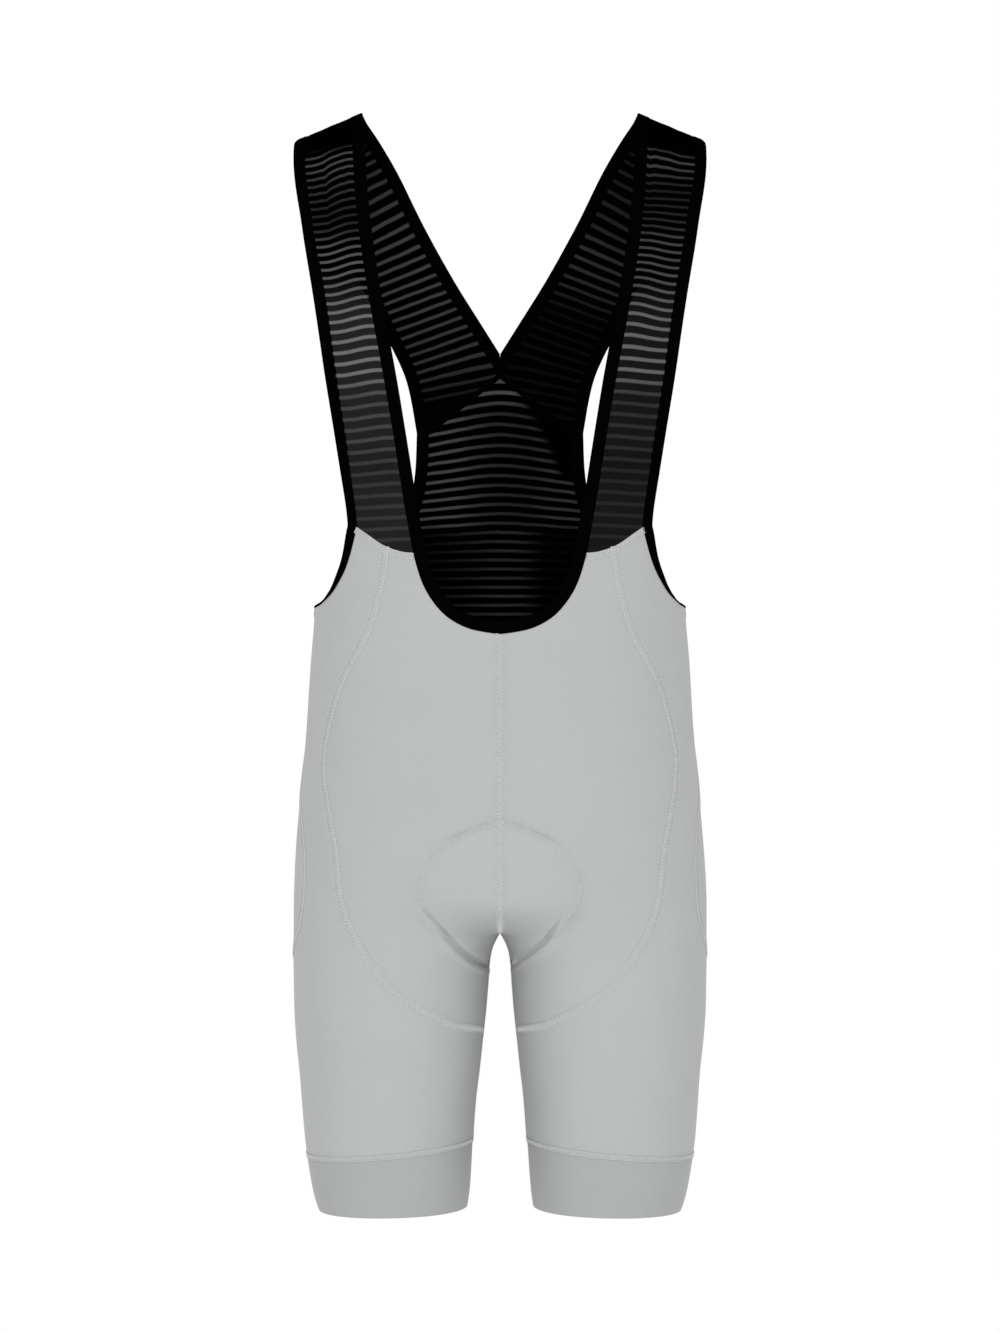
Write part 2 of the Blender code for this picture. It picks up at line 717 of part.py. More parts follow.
def binding(name, loop, finish):
    """A folded strip round a closed loop of (point, normal), on the side that the loop keeps on its left
    when it is seen from outside. It is closed on itself, so it has no ends."""
    count = len(loop)
    sides = []
    for k in range(count):
        span = loop[(k + 1) % count][0] - loop[k][0]
        normal = loop[k][1] + loop[(k + 1) % count][1]
        sides.append(normal.cross(span).normalized())
    vertices, faces = [], []
    near, far = SEAM_GAP / 2, SEAM_GAP / 2 + BINDING_WIDTH
    for k, (point, normal) in enumerate(loop):
        away = (sides[k - 1] + sides[k]).normalized()
        away /= max(away.dot(sides[k]), 1 / MOST_MITRE)
        above, below = normal * BINDING_PROUD, normal * (CLOTH + BINDING_PROUD)
        vertices += [point + away * near + above, point + away * far + above]
        vertices += [point + away * far - below, point + away * near - below]
        here, there = 4 * k, 4 * ((k + 1) % count)
        for c in range(4):
            d = (c + 1) % 4
            faces += [[here + c, there + c, there + d], [here + c, there + d, here + d]]
    return solid(name, vertices, faces, finish)


def right_copy(thing, name):
    """The right-hand twin of a left-hand piece."""
    mesh = thing.data.copy()
    mesh.name = name
    build = bmesh.new()
    build.from_mesh(mesh)
    for vertex in build.verts:
        vertex.co.x = -vertex.co.x
    bmesh.ops.reverse_faces(build, faces=build.faces)
    build.to_mesh(mesh)
    build.free()
    twin = bpy.data.objects.new(name, mesh)
    bpy.context.scene.collection.objects.link(twin)
    return twin


def material(name, look):
    colour, roughness = look
    made = bpy.data.materials.new(name)
    made.use_nodes = True
    shader = made.node_tree.nodes["Principled BSDF"]
    shader.inputs["Base Color"].default_value = colour
    shader.inputs["Roughness"].default_value = roughness
    shader.inputs["Metallic"].default_value = 0.0
    made.diffuse_color = colour
    return made


def pad_cells(front, seat):
    """The cells of the front and seat panels that the pad lies on, on both sides of the body."""
    first, last = ROWS_CHEST, ROWS_CHEST + ROWS_CROTCH + 1
    quads = cells([row[: PAD_COLUMNS_FRONT + 1] for row in front[first : last + 1]])
    quads += cells([row[-1 - PAD_COLUMNS_BACK :] for row in seat[first : last + 1]])
    return quads + [tuple(mirrored(quad)) for quad in quads]


def main():
    for thing in list(bpy.data.objects):
        bpy.data.objects.remove(thing)
    grey, cuff_grey = material("knit", GREY), material("cuff_knit", CUFF_GREY)
    mesh_black, black = material("striped_mesh", MESH_BLACK), material("binding", BLACK)
    pad_grey = material("pad", PAD_GREY)

    lines = seams()
    front_places, seat_places = front_panel(lines), seat_panel(lines)
    side_places = side_panel(lines, front_places, seat_places)
    front, seat, side = on_figure(front_places), on_figure(seat_places), on_figure(side_places)
    back = on_figure(back_mesh(lines, seat_places, side_places))

    end = strap_end(front_places, side_places)
    across = [(x - end[0][0]) / (end[-1][0] - end[0][0]) for x, _ in end]
    even = [k / (len(end) - 1) for k in range(len(end))]
    front_strap = strap(FRONT_STRAP, -1, ROWS_FRONT_STRAP, across, end)
    back_strap = strap(BACK_STRAP, 1, ROWS_BACK_STRAP, even)

    for name, rows, inside, finish in (
        ("front", front, CLOTH, grey),
        ("side", side, CLOTH, grey),
        ("seat", seat, CLOTH, grey),
        ("cuff", on_figure(cuff(side_places)), CUFF_CLOTH, cuff_grey),
        ("front_strap", front_strap, MESH_CLOTH, mesh_black),
        ("back_strap", back_strap, MESH_CLOTH, mesh_black),
    ):
        left = shell(f"{name}_left", cells(rows), 0.0, inside, finish)
        right_copy(left, f"{name}_right")

    whole_back = cells(back) + cells([mirrored(row) for row in back])
    shell("back_mesh", whole_back, 0.0, MESH_CLOTH, mesh_black)

    pad_outside = -(CLOTH + PAD_GAP)
    shell("seat_pad", pad_cells(front, seat), pad_outside, PAD_THICKNESS - pad_outside, pad_grey, True)

    arm = [row[0] for row in front_strap]
    arm += side[0][COLUMNS_STRAP_SIDE + 1 : COLUMNS_STRAP_SIDE + COLUMNS_ARMHOLE + 1]
    arm += [row[0] for row in back[1:]]
    arm += [row[0] for row in back_strap[-2:0:-1]]
    arm_left = binding("arm_binding_left", arm, black)
    right_copy(arm_left, "arm_binding_right")

    half = front[0][: COLUMNS_NECK + 1]
    half += [row[-1] for row in front_strap[-2::-1]]
    half += [row[-1] for row in back_strap[1:]]
    neck = half + mirrored(half[-2:0:-1])
    binding("neck_binding", neck, black)


main()
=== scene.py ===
"""Looks of the cycling bib shorts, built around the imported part.

The panels follow the same figure as the part: a place is (around, station) below the straps and (x, reach) on
them. Each panel is a thin shell on a fine grid of it, with its creases; the seams are ribbons with threads.
"""
import math

import bpy
import numpy as np
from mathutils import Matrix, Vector


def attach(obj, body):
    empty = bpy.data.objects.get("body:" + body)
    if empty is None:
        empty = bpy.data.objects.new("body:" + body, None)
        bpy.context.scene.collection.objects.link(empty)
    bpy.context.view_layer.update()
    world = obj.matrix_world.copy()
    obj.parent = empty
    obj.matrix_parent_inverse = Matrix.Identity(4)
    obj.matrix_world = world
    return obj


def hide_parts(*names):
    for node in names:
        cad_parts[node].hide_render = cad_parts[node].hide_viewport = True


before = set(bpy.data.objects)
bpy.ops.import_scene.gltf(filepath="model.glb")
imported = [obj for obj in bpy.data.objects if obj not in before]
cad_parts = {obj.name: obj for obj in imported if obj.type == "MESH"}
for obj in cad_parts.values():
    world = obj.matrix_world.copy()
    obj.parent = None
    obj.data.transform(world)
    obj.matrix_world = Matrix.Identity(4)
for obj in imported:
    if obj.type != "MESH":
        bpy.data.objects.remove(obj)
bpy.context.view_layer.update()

# The figure, as the part has it, in metres
PAD_LIFT = 0.004  # how far the seat pad pushes the cloth out

# Heights, from the shoulders down
CROTCH = -0.689
CUFF_SEAM = -0.8725
HEM = -0.9245
PAD_TOP = -0.600
SEAM_END = -0.773  # where the curved seams meet on the inner thigh
HIP = -0.560

# The crotch curve rises to the full depth of the torso over these heights
FRONT_RISE = 0.035
BACK_RISE = 0.070
THIGH_TOP = -0.745  # away from the centre the thigh starts to widen into the torso here
CENTRE_REACH = 0.22  # how far around from the centre lines the crotch's curve is felt

# Horizontal sections of the torso, as (height, half width at the side, depth to the front, depth to the back)
TORSO = (
    (0.040, 0.260, 0.104, 0.085),
    (-0.050, 0.258, 0.108, 0.100),
    (-0.100, 0.250, 0.111, 0.109),
    (-0.150, 0.235, 0.112, 0.114),
    (-0.200, 0.205, 0.112, 0.115),
    (-0.250, 0.180, 0.110, 0.111),
    (-0.300, 0.165, 0.107, 0.104),
    (-0.345, 0.158, 0.104, 0.097),
    (-0.410, 0.1592, 0.102, 0.089),
    (-0.460, 0.1632, 0.102, 0.087),
    (-0.520, 0.1664, 0.104, 0.096),
    (-0.570, 0.1712, 0.105, 0.110),
    (-0.620, 0.1754, 0.104, 0.122),
    (-0.660, 0.1773, 0.101, 0.125),
    (-0.690, 0.1776, 0.098, 0.122),
)
TORSO_FULLNESS = 0.18  # how much squarer than an ellipse

# Horizontal sections of a leg, as (height, outer x, inner x, front y, back y, drop for each metre outwards)
LEG = (
    (-0.689, 0.1776, 0.0000, -0.088, 0.100, 0.000),
    (-0.696, 0.1776, 0.0040, -0.089, 0.099, 0.000),
    (-0.704, 0.1776, 0.0073, -0.090, 0.098, 0.000),
    (-0.717, 0.1775, 0.0095, -0.090, 0.096, 0.000),
    (-0.730, 0.1772, 0.0102, -0.090, 0.094, 0.000),
    (-0.756, 0.1767, 0.0122, -0.089, 0.090, 0.000),
    (-0.782, 0.1750, 0.0150, -0.087, 0.086, 0.000),
    (-0.807, 0.1722, 0.0177, -0.084, 0.083, 0.020),
    (-0.833, 0.1699, 0.0208, -0.081, 0.079, 0.055),
    (-0.859, 0.1676, 0.0228, -0.078, 0.076, 0.085),
    (-0.885, 0.1641, 0.0243, -0.075, 0.073, 0.085),
    (-0.911, 0.1596, 0.0262, -0.071, 0.070, 0.045),
    (-0.930, 0.1540, 0.0290, -0.069, 0.068, 0.010),
)
LEG_FULLNESS = 0.08

# The crest of the shoulders, where the straps turn over, falls outwards
CREST_HEIGHT = 0.0105  # at CREST_X
CREST_X = 0.128
CREST_FALL = 0.415
CREST_DEPTH = {-1: 0.115, 1: 0.100}  # drop to the full depth of the chest (-1) and of the back (+1)

# Seams and cut edges of the left half, seen from the front as (x, height)
NECKLINE = (
    (0.0000, -0.4330), (0.0250, -0.4284), (0.0438, -0.4184), (0.0571, -0.4034), (0.0655, -0.3870),
    (0.0718, -0.3656),
)
STRAP_SEAM = (
    (0.0718, -0.3656), (0.0830, -0.3642), (0.0976, -0.3588), (0.1120, -0.3490), (0.1205, -0.3431),
)
FRONT_SEAM_X = 0.0955  # where the curved front seam meets the strap seam
FRONT_SEAM = (
    (0.1004, -0.392), (0.1120, -0.432), (0.1340, -0.474), (0.1474, -0.522), (0.1490, -0.557),
    (0.1392, -0.615), (0.1347, -0.655), (0.1262, -0.682), (0.1100, -0.7075), (0.0883, -0.733),
    (0.0620, -0.750), (0.0375, -0.764),
)
SWEEP_FRONT = -0.7075  # height where the front seam turns in under the thigh
ARMHOLE = (  # the photo's edge, up to 4.5 mm further out than the part's
    (0.1205, -0.3431), (0.1239, -0.3560), (0.1267, -0.3660), (0.1315, -0.3790), (0.1390, -0.3925),
    (0.1452, -0.4003), (0.1535, -0.4070),
)
ARMHOLE_SIDE = -0.4094  # height of the armhole's edge at the side of the body

# Seams of the left half seen from the side and the back, as (around, height)
BACK_SEAM = (
    (0.585, -0.426), (0.555, -0.490), (0.500, -0.560), (0.455, -0.580), (0.415, -0.603), (0.397, -0.632),
    (0.411, -0.665), (0.450, -0.690), (0.500, -0.706), (0.600, -0.724), (0.720, -0.742), (0.860, -0.759),
    (1.000, SEAM_END),
)
SWEEP_BACK = -0.706
WAIST_BACK = (
    (0.500, ARMHOLE_SIDE), (0.585, -0.426), (0.700, -0.447), (0.850, -0.465), (1.000, -0.470),
)

# Edge of the back mesh, as (x, height). The bindings lie outside it and outside the straps' edges
BACK_ARMHOLE = (
    (0.1545, -0.4065), (0.1360, -0.3960), (0.1080, -0.3760), (0.0850, -0.3500), (0.0710, -0.3200),
    (0.0655, -0.2900), (0.0640, -0.2529),
)
BACK_APEX = -0.2013  # top of the back mesh, at the centre

# The straps' edges, as (outer x, outer height, inner x, inner height)
FRONT_STRAP = (
    (0.1668, -0.0050, 0.1281, 0.0107),
    (0.1650, -0.0378, 0.1231, -0.0269),
    (0.1566, -0.0903, 0.1188, -0.0803),
    (0.1467, -0.1516, 0.1101, -0.1431),
    (0.1365, -0.2274, 0.0959, -0.2215),
    (0.1285, -0.2830, 0.0868, -0.2766),
    (0.1221, -0.3251, 0.0801, -0.3192),
    (0.1205, -0.3431, 0.0718, -0.3656),
)
BACK_STRAP = (
    (0.1668, -0.0050, 0.1281, 0.0107),
    (0.1646, -0.0106, 0.1243, 0.0059),
    (0.1580, -0.0271, 0.1132, -0.0083),
    (0.1409, -0.0617, 0.0968, -0.0348),
    (0.1205, -0.1045, 0.0774, -0.0731),
    (0.0975, -0.1530, 0.0502, -0.1216),
    (0.0746, -0.2015, 0.0251, -0.1616),
    (0.0640, -0.2529, 0.0000, -0.2013),
)

# The seat pad bulges the cloth inside this outline, as (height, half width)
PAD_FRONT = ((-0.585, 0.0), (-0.605, 0.045), (-0.640, 0.068), (-0.668, 0.064), (-0.700, 0.036), (-0.722, 0.0))
PAD_BACK = ((-0.560, 0.0), (-0.590, 0.070), (-0.635, 0.088), (-0.672, 0.078), (-0.705, 0.045), (-0.726, 0.0))
PAD_EDGE = 0.022  # width over which the bulge fades

# How finely the pieces are divided: FINE steps for each of the part's
FINE = 8
ROWS_CHEST, ROWS_CROTCH, ROWS_THIGH, ROWS_CUFF = 5 * FINE, 6 * FINE, 4 * FINE, 2 * FINE
INSEAM_SHARES = (0.0, 0.14, 0.5, 1.0)
INSEAM_ROWS = [
    a + (b - a) * k / FINE for a, b in zip(INSEAM_SHARES, INSEAM_SHARES[1:]) for k in range(FINE)
] + [1.0]
ROWS_INSEAM = len(INSEAM_ROWS) - 1
ROWS_TO_SWEEP = ROWS_CHEST + ROWS_CROTCH + ROWS_INSEAM
COLUMNS_NECK, COLUMNS_STRAP_FRONT, COLUMNS_STRAP_SIDE = 6 * FINE, 2 * FINE, 3 * FINE
COLUMNS_ARMHOLE, COLUMNS_WAIST_SIDE = 8 * FINE, 3 * FINE
COLUMNS_PANEL = COLUMNS_NECK + COLUMNS_STRAP_FRONT
ROWS_FRONT_STRAP, ROWS_BACK_STRAP, ROWS_BACK = 12 * FINE, 10 * FINE, 8 * FINE

CROTCH_SLOPE = 0.45  # of the cloth where the two legs meet, down for each metre in
SMALL = 1e-3  # step for tangents, as a share of the way around and in metres
HALVINGS = 40  # of a range in which a place is sought


def mix(a, b, share):
    return a + (b - a) * share


def ease(share):
    share = min(1.0, max(0.0, share))
    return share * share * (3 - 2 * share)


def hermite(p0, p1, slope0, slope1, share):
    """The cubic from p0 to p1 with these slopes per whole span."""
    s2, s3 = share * share, share * share * share
    return (
        (2 * s3 - 3 * s2 + 1) * p0
        + (s3 - 2 * s2 + share) * slope0
        + (3 * s2 - 2 * s3) * p1
        + (s3 - s2) * slope1
    )


def section(table, height):
    """The table's row at this height, each column on a smooth curve through its rows."""
    last = len(table) - 2
    i = next((k for k in range(last) if table[k + 1][0] <= height), last)
    low, high = max(i - 1, 0), min(i + 2, len(table) - 1)
    span = table[i + 1][0] - table[i][0]
    share = min(1.0, max(0.0, (height - table[i][0]) / span))
    values = []
    for column in range(1, len(table[0])):
        y = [table[k][column] for k in (low, i, i + 1, high)]
        slope0 = (y[2] - y[0]) / (table[i + 1][0] - table[low][0]) * span
        slope1 = (y[3] - y[1]) / (table[high][0] - table[i][0]) * span
        values.append(hermite(y[1], y[2], slope0, slope1, share))
    return values


def curve_through(points, per_span=16):
    """A dense line of points on the smooth curve through these."""
    line = []
    for i in range(len(points) - 1):
        before, after = points[max(i - 1, 0)], points[min(i + 2, len(points) - 1)]
        for k in range(per_span):
            line.append(
                tuple(
                    hermite(p0, p1, (p1 - a) / 2, (b - p0) / 2, k / per_span)
                    for a, p0, p1, b in zip(before, points[i], points[i + 1], after)
                )
            )
    return line + [tuple(points[-1])]


def crossing(line, value, known, wanted):
    """The wanted coordinate where the line's known coordinate has this value."""
    for a, b in zip(line, line[1:]):
        if min(a[known], b[known]) <= value <= max(a[known], b[known]) and a[known] != b[known]:
            return mix(a[wanted], b[wanted], (value - a[known]) / (b[known] - a[known]))
    return min(line, key=lambda p: abs(p[known] - value))[wanted]


def evenly(start, end, count):
    """count values from start towards end, without the end itself."""
    return [mix(start, end, k / count) for k in range(count)]


# The figure below the straps


def centre_share(around):
    """1 on the centre lines, falling to 0 away from them."""
    return 1 - ease(min(around, 1 - around) / CENTRE_REACH)


def height_of(around, station):
    """A station's height. On the centre lines the stations follow the crotch's curve, and away from them they
    only run downwards."""
    if station <= 0:
        return CROTCH + station
    rise = BACK_RISE + station - BACK_RISE * math.pi / 2
    turn = station / BACK_RISE
    if turn >= math.pi / 2:
        return CROTCH + rise
    curved, straight = BACK_RISE * (1 - math.cos(turn)), BACK_RISE * turn * 2 / math.pi
    return CROTCH + mix(straight, curved, centre_share(around))


def station_of(height, around=0.0):
    rise = height - CROTCH
    if rise <= 0:
        return rise
    if rise >= BACK_RISE:
        return rise - BACK_RISE + BACK_RISE * math.pi / 2
    low, high = 0.0, BACK_RISE * math.pi / 2
    for _ in range(HALVINGS):
        middle = (low + high) / 2
        if height_of(around, middle) < height:
            low = middle
        else:
            high = middle
    return low


def torso_share(around, height):
    """How much of the figure's section here is the torso's. The rest is the leg's."""
    rise = max(0.0, (height - CROTCH) / FRONT_RISE)
    front = math.sqrt(1 - (1 - min(1.0, rise)) ** 2)
    rise = max(0.0, (height - CROTCH) / BACK_RISE)
    back = math.sqrt(1 - (1 - min(1.0, rise)) ** 2)
    away = ease((height - THIGH_TOP) / (CROTCH + BACK_RISE - THIGH_TOP))
    return mix(away, mix(front, back, ease(around)), centre_share(around))


def pad_bulge(x, height, outline):
    """How far the pad lifts the cloth here."""
    if not outline[-1][0] < height < outline[0][0]:
        return 0.0
    half_width = crossing(outline, height, 0, 1)
    near_end = min(outline[0][0] - height, height - outline[-1][0])
    inside = min(half_width - abs(x), near_end)
    return PAD_LIFT * ease(0.5 + inside / PAD_EDGE)


def torso_point(around, height):
    half_width, front, back = section(TORSO, height)
    angle = math.pi * around
    fullness = 1 + TORSO_FULLNESS * math.sin(angle) ** 2
    depth = front if around < 0.5 else back
    return Vector((half_width * math.sin(angle), -depth * math.cos(angle) * fullness, height))


def leg_point(around, height):
    outer, inner, front, back, tilt = section(LEG, height)
    angle = 2 * math.pi * around
    centre, half_width = (outer + inner) / 2, (outer - inner) / 2
    fullness = 1 + LEG_FULLNESS * math.cos(angle) ** 2
    side = math.sin(angle) * fullness
    x = centre - half_width * math.cos(angle)
    y = front * side if side > 0 else -back * side
    return Vector((x, y, height - tilt * (x - centre)))


def figure_at(around, height):
    """The point of the left half's outer surface here."""
    around = around % 1.0 if height <= CROTCH else around
    share = torso_share(around, height)
    point = leg_point(around, min(height, CROTCH))
    if share:
        torso = torso_point(around, height)
        point = Vector((mix(point.x, torso.x, share), mix(point.y, torso.y, share), point.z))
    if height > CROTCH:
        point.z = height
    if point.y < 0:
        point.y -= pad_bulge(point.x, point.z, PAD_FRONT)
    else:
        point.y += pad_bulge(point.x, point.z, PAD_BACK)
    return point


def figure(around, station):
    return figure_at(around, height_of(around % 1.0 if station <= 0 else around, station))


def sample(around, station):
    """(point, outward normal) of the figure."""
    at_centre = around in (0.0, 1.0)
    if at_centre and abs(station) < SMALL:
        return figure(around, 0.0), Vector((-1, 0, -CROTCH_SLOPE)).normalized()
    before, after = around - SMALL, around + SMALL
    if station > 0:
        before, after = max(before, 0.0), min(after, 1.0)
    along = figure(after, station) - figure(before, station)
    up = figure(around, station + SMALL) - figure(around, station - SMALL)
    normal = along.cross(up).normalized()
    if at_centre and normal.x > 0:
        normal.x = 0.0
    return figure(around, station), normal.normalized()


def around_of(x, height, back=False):
    """How far around the figure is this x, on its front or its back half."""
    near, far = (1.0, 0.5) if back else (0.0, 0.5)
    for _ in range(HALVINGS):
        middle = (near + far) / 2
        if figure_at(middle, height).x < x:
            near = middle
        else:
            far = middle
    return near


def place_of(x, height, back=False):
    """The (around, station) of this x and height, on the figure's front or its back half."""
    around = around_of(x, height, back)
    return around, station_of(height, around)


# The figure under the straps


def crest_height(x):
    return CREST_HEIGHT - CREST_FALL * (x - CREST_X)


def reach_of(x, height, side):
    """The distance from the crest to this height, over the shoulder and down the chest or back."""
    drop, depth = max(0.0, crest_height(x) - height), CREST_DEPTH[side]
    if drop >= depth:
        return depth * (math.pi / 2 - 1) + drop
    return depth * math.acos(1 - drop / depth)


def shoulder_point(x, reach, side):
    depth = CREST_DEPTH[side]
    turn = min(reach / depth, math.pi / 2)
    drop = depth * (1 - math.cos(turn)) + max(0.0, reach - depth * math.pi / 2)
    height = crest_height(x) - drop
    half_width, front, back = section(TORSO, height)
    angle = math.asin(min(1.0, x / half_width))
    fullness = 1 + TORSO_FULLNESS * math.sin(angle) ** 2
    full = (front if side < 0 else back) * math.cos(angle) * fullness
    return Vector((x, side * full * math.sin(turn), height))


def shoulder_sample(x, reach, side):
    across = shoulder_point(x + SMALL, reach, side) - shoulder_point(x - SMALL, reach, side)
    up = shoulder_point(x, max(0.0, reach - SMALL), side) - shoulder_point(x, reach + SMALL, side)
    return shoulder_point(x, reach, side), (across.cross(up) * -side).normalized()


# Seams of the left half as lines of (around, station)


def on_front(points):
    return [place_of(x, z) for x, z in curve_through(points)]


def on_side(points):
    return [(around, station_of(z, around)) for around, z in curve_through(points)]


def seams():
    """The left half's seams and edges by name, each a dense line of (around, station)."""
    side_point = (0.5, station_of(ARMHOLE_SIDE))
    strap_seam = on_front(STRAP_SEAM)
    top = (FRONT_SEAM_X, crossing(curve_through(STRAP_SEAM), FRONT_SEAM_X, 0, 1))
    return {
        "neckline": on_front(NECKLINE),
        "strap_seam": strap_seam,
        "front_seam": on_front((top,) + FRONT_SEAM) + [(0.0, station_of(SEAM_END))],
        "armhole": on_front(ARMHOLE) + [side_point],
        "back_seam": on_side(BACK_SEAM),
        "waist": on_side(WAIST_BACK),
    }


def stations_at(line, arounds):
    """The line's stations at these places around."""
    return [crossing(line, around, 0, 1) for around in arounds]


def below(line, station):
    return [place for place in line if place[1] <= station + SMALL]


def level(line, stations):
    """Where the line is at each station, as (around, station)."""
    return [(crossing(line, v, 1, 0), v) for v in stations]


def ruled(left, right, shares, top=None, bottom=None, fade=5 * FINE):
    """Rows of (around, station) from the left line to the right one. The first row takes the top line's
    stations and the last row the bottom line's, and the rows near them follow, less and less."""
    count = len(left) - 1
    rows = []
    for i, (a, b) in enumerate(zip(left, right)):
        row = []
        for j, share in enumerate(shares):
            station = mix(a[1], b[1], share)
            if top:
                bend = top[j] - mix(left[0][1], right[0][1], share)
                station += bend * max(0.0, 1 - i / fade) ** 2
            if bottom:
                bend = bottom[j] - mix(left[-1][1], right[-1][1], share)
                station += bend * max(0.0, 1 - (count - i) / fade) ** 2
            row.append((mix(a[0], b[0], share), station))
        rows.append(row)
    return rows


def on_figure(rows):
    return [[sample(*place) for place in row] for row in rows]


# Panels of the left half, as rows of (point, normal)


def centre_stations(top):
    """Stations down a centre line from this height, under the crotch and down the inseam."""
    pad_top = station_of(PAD_TOP)
    down = evenly(station_of(top), pad_top, ROWS_CHEST)
    down += evenly(pad_top, 0.0, ROWS_CROTCH)
    return down + [station_of(SEAM_END) * share for share in INSEAM_ROWS]


def seam_stations(top, end):
    """Stations down a curved seam, from its top to where it turns in under the thigh."""
    hip = station_of(HIP)
    below = ROWS_TO_SWEEP - ROWS_CHEST
    return evenly(top, hip, ROWS_CHEST) + evenly(hip, station_of(end), below) + [station_of(end)]


def front_panel(lines):
    """Rows of the front panel, from its neckline and strap seam down to the curved seam's sweep."""
    corner, seam_top = lines["strap_seam"][0][0], lines["front_seam"][0][0]
    arounds = evenly(0.0, corner, COLUMNS_NECK)
    arounds += evenly(corner, seam_top, COLUMNS_STRAP_FRONT) + [seam_top]
    shares = [around / seam_top for around in arounds]
    top = stations_at(lines["neckline"], arounds[:COLUMNS_NECK])
    top += stations_at(lines["strap_seam"], arounds[COLUMNS_NECK:])
    left = [(0.0, v) for v in centre_stations(NECKLINE[0][1])]
    right = level(lines["front_seam"], seam_stations(lines["front_seam"][0][1], SWEEP_FRONT))
    around, station = right[-1]
    bottom = stations_at(below(lines["front_seam"], station), [around * share for share in shares])
    return ruled(left, right, shares, top, bottom)


def seat_panel(lines):
    """Rows of the back panel, from the waist down to the back seam's sweep."""
    start = lines["back_seam"][0]
    shares = [k / COLUMNS_PANEL for k in range(COLUMNS_PANEL + 1)]
    top = stations_at(lines["waist"], [mix(start[0], 1.0, share) for share in shares])
    left = level(lines["back_seam"], seam_stations(start[1], SWEEP_BACK))
    right = [(1.0, v) for v in centre_stations(WAIST_BACK[-1][1])]
    around, station = left[-1]
    bottom = stations_at(below(lines["back_seam"], station), [mix(around, 1.0, share) for share in shares])
    return ruled(left, right, shares, top, bottom)


def side_panel(lines, front, seat):
    """Rows of the side panel, which widens below the hip until it goes round the thigh."""
    seam_top, ear, waist = front[0][-1], lines["armhole"][0][0], seat[0][0]
    arounds = evenly(seam_top[0], ear, COLUMNS_STRAP_SIDE)
    arounds += evenly(ear, 0.5, COLUMNS_ARMHOLE)
    arounds += evenly(0.5, waist[0], COLUMNS_WAIST_SIDE) + [waist[0]]
    shares = [(around - seam_top[0]) / (waist[0] - seam_top[0]) for around in arounds]
    to_side = COLUMNS_STRAP_SIDE + COLUMNS_ARMHOLE
    top = stations_at(lines["strap_seam"], arounds[:COLUMNS_STRAP_SIDE])
    top += stations_at(lines["armhole"], arounds[COLUMNS_STRAP_SIDE:to_side])
    top += stations_at(lines["waist"], arounds[to_side:])
    end = station_of(SEAM_END)
    thigh = evenly(end, station_of(CUFF_SEAM), ROWS_THIGH)[1:] + [station_of(CUFF_SEAM)]
    left = [row[-1] for row in front] + front[-1][-2::-1] + [(0.0, v) for v in thigh]
    right = [row[0] for row in seat] + seat[-1][1:] + [(1.0, v) for v in thigh]
    return ruled(left, right, shares, top)


def back_mesh(seat, side):
    """Rows of one half of the back mesh, from the waist up to the strap seam."""
    waist_side = side[0][-1 - COLUMNS_WAIST_SIDE : -1]
    bottom = waist_side + seat[0]
    shares = [(around - 0.5) / 0.5 for around, _ in bottom]
    edge_line = [(0.5, station_of(ARMHOLE_SIDE))]
    edge_line += [place_of(x, z, True) for x, z in curve_through(BACK_ARMHOLE)]
    edge = spaced(edge_line, ROWS_BACK)
    centre_bottom, centre_top = seat[0][-1][1], station_of(BACK_APEX)
    centre = [(1.0, mix(centre_bottom, centre_top, k / ROWS_BACK)) for k in range(ROWS_BACK + 1)]
    edge_x, edge_z = BACK_ARMHOLE[-1]
    top = []
    for share in shares:
        around, station = mix(edge[-1][0], 1.0, share), edge[-1][1]
        for _ in range(6):
            x = figure(around, station).x
            station = station_of(mix(BACK_APEX, edge_z, x / edge_x))
        top.append(station)
    return ruled(edge, centre, shares, [station for _, station in bottom], top, ROWS_BACK)


def spaced(line, count):
    """count + 1 places along a line of (around, station), evenly spaced on the figure."""
    points = [figure(*place) for place in line]
    along = [0.0]
    for a, b in zip(points, points[1:]):
        along.append(along[-1] + (b - a).length)
    marked = [(s, around, station) for s, (around, station) in zip(along, line)]
    steps = [along[-1] * k / count for k in range(count + 1)]
    return [(crossing(marked, s, 0, 1), crossing(marked, s, 0, 2)) for s in steps]


def strap(table, side, rows, shares, end=None):
    """Rows of (point, normal) of a strap from the crest down, each from its outer to its inner edge."""
    outer = curve_through([(x, reach_of(x, z, side)) for x, z, _, _ in table])
    inner = curve_through([(x, reach_of(x, z, side)) for _, _, x, z in table])
    samples = []
    for i in range(rows + 1):
        at = i / rows * (len(outer) - 1)
        k = min(int(at), len(outer) - 2)
        a = [mix(p, q, at - k) for p, q in zip(outer[k], outer[k + 1])]
        b = [mix(p, q, at - k) for p, q in zip(inner[k], inner[k + 1])]
        row = []
        for j, share in enumerate(shares):
            x, reach = mix(a[0], b[0], share), mix(a[1], b[1], share)
            if end:
                pull = max(0.0, 1 - (rows - i) / (3 * FINE)) ** 2
                x += pull * (end[j][0] - mix(outer[-1][0], inner[-1][0], share))
                reach += pull * (end[j][1] - mix(outer[-1][1], inner[-1][1], share))
            row.append(shoulder_sample(x, reach, side))
        samples.append(row)
    return samples


def strap_end(front, side):
    """The front strap's last row on the panels' own points, from its outer edge in, as (x, reach)."""
    places = side[0][COLUMNS_STRAP_SIDE:0:-1] + front[0][: COLUMNS_NECK - 1 : -1]
    points = [figure(*place) for place in places]
    return [(p.x, reach_of(p.x, p.z, -1)) for p in points]


# Relief: how far the cloth stands out from the figure

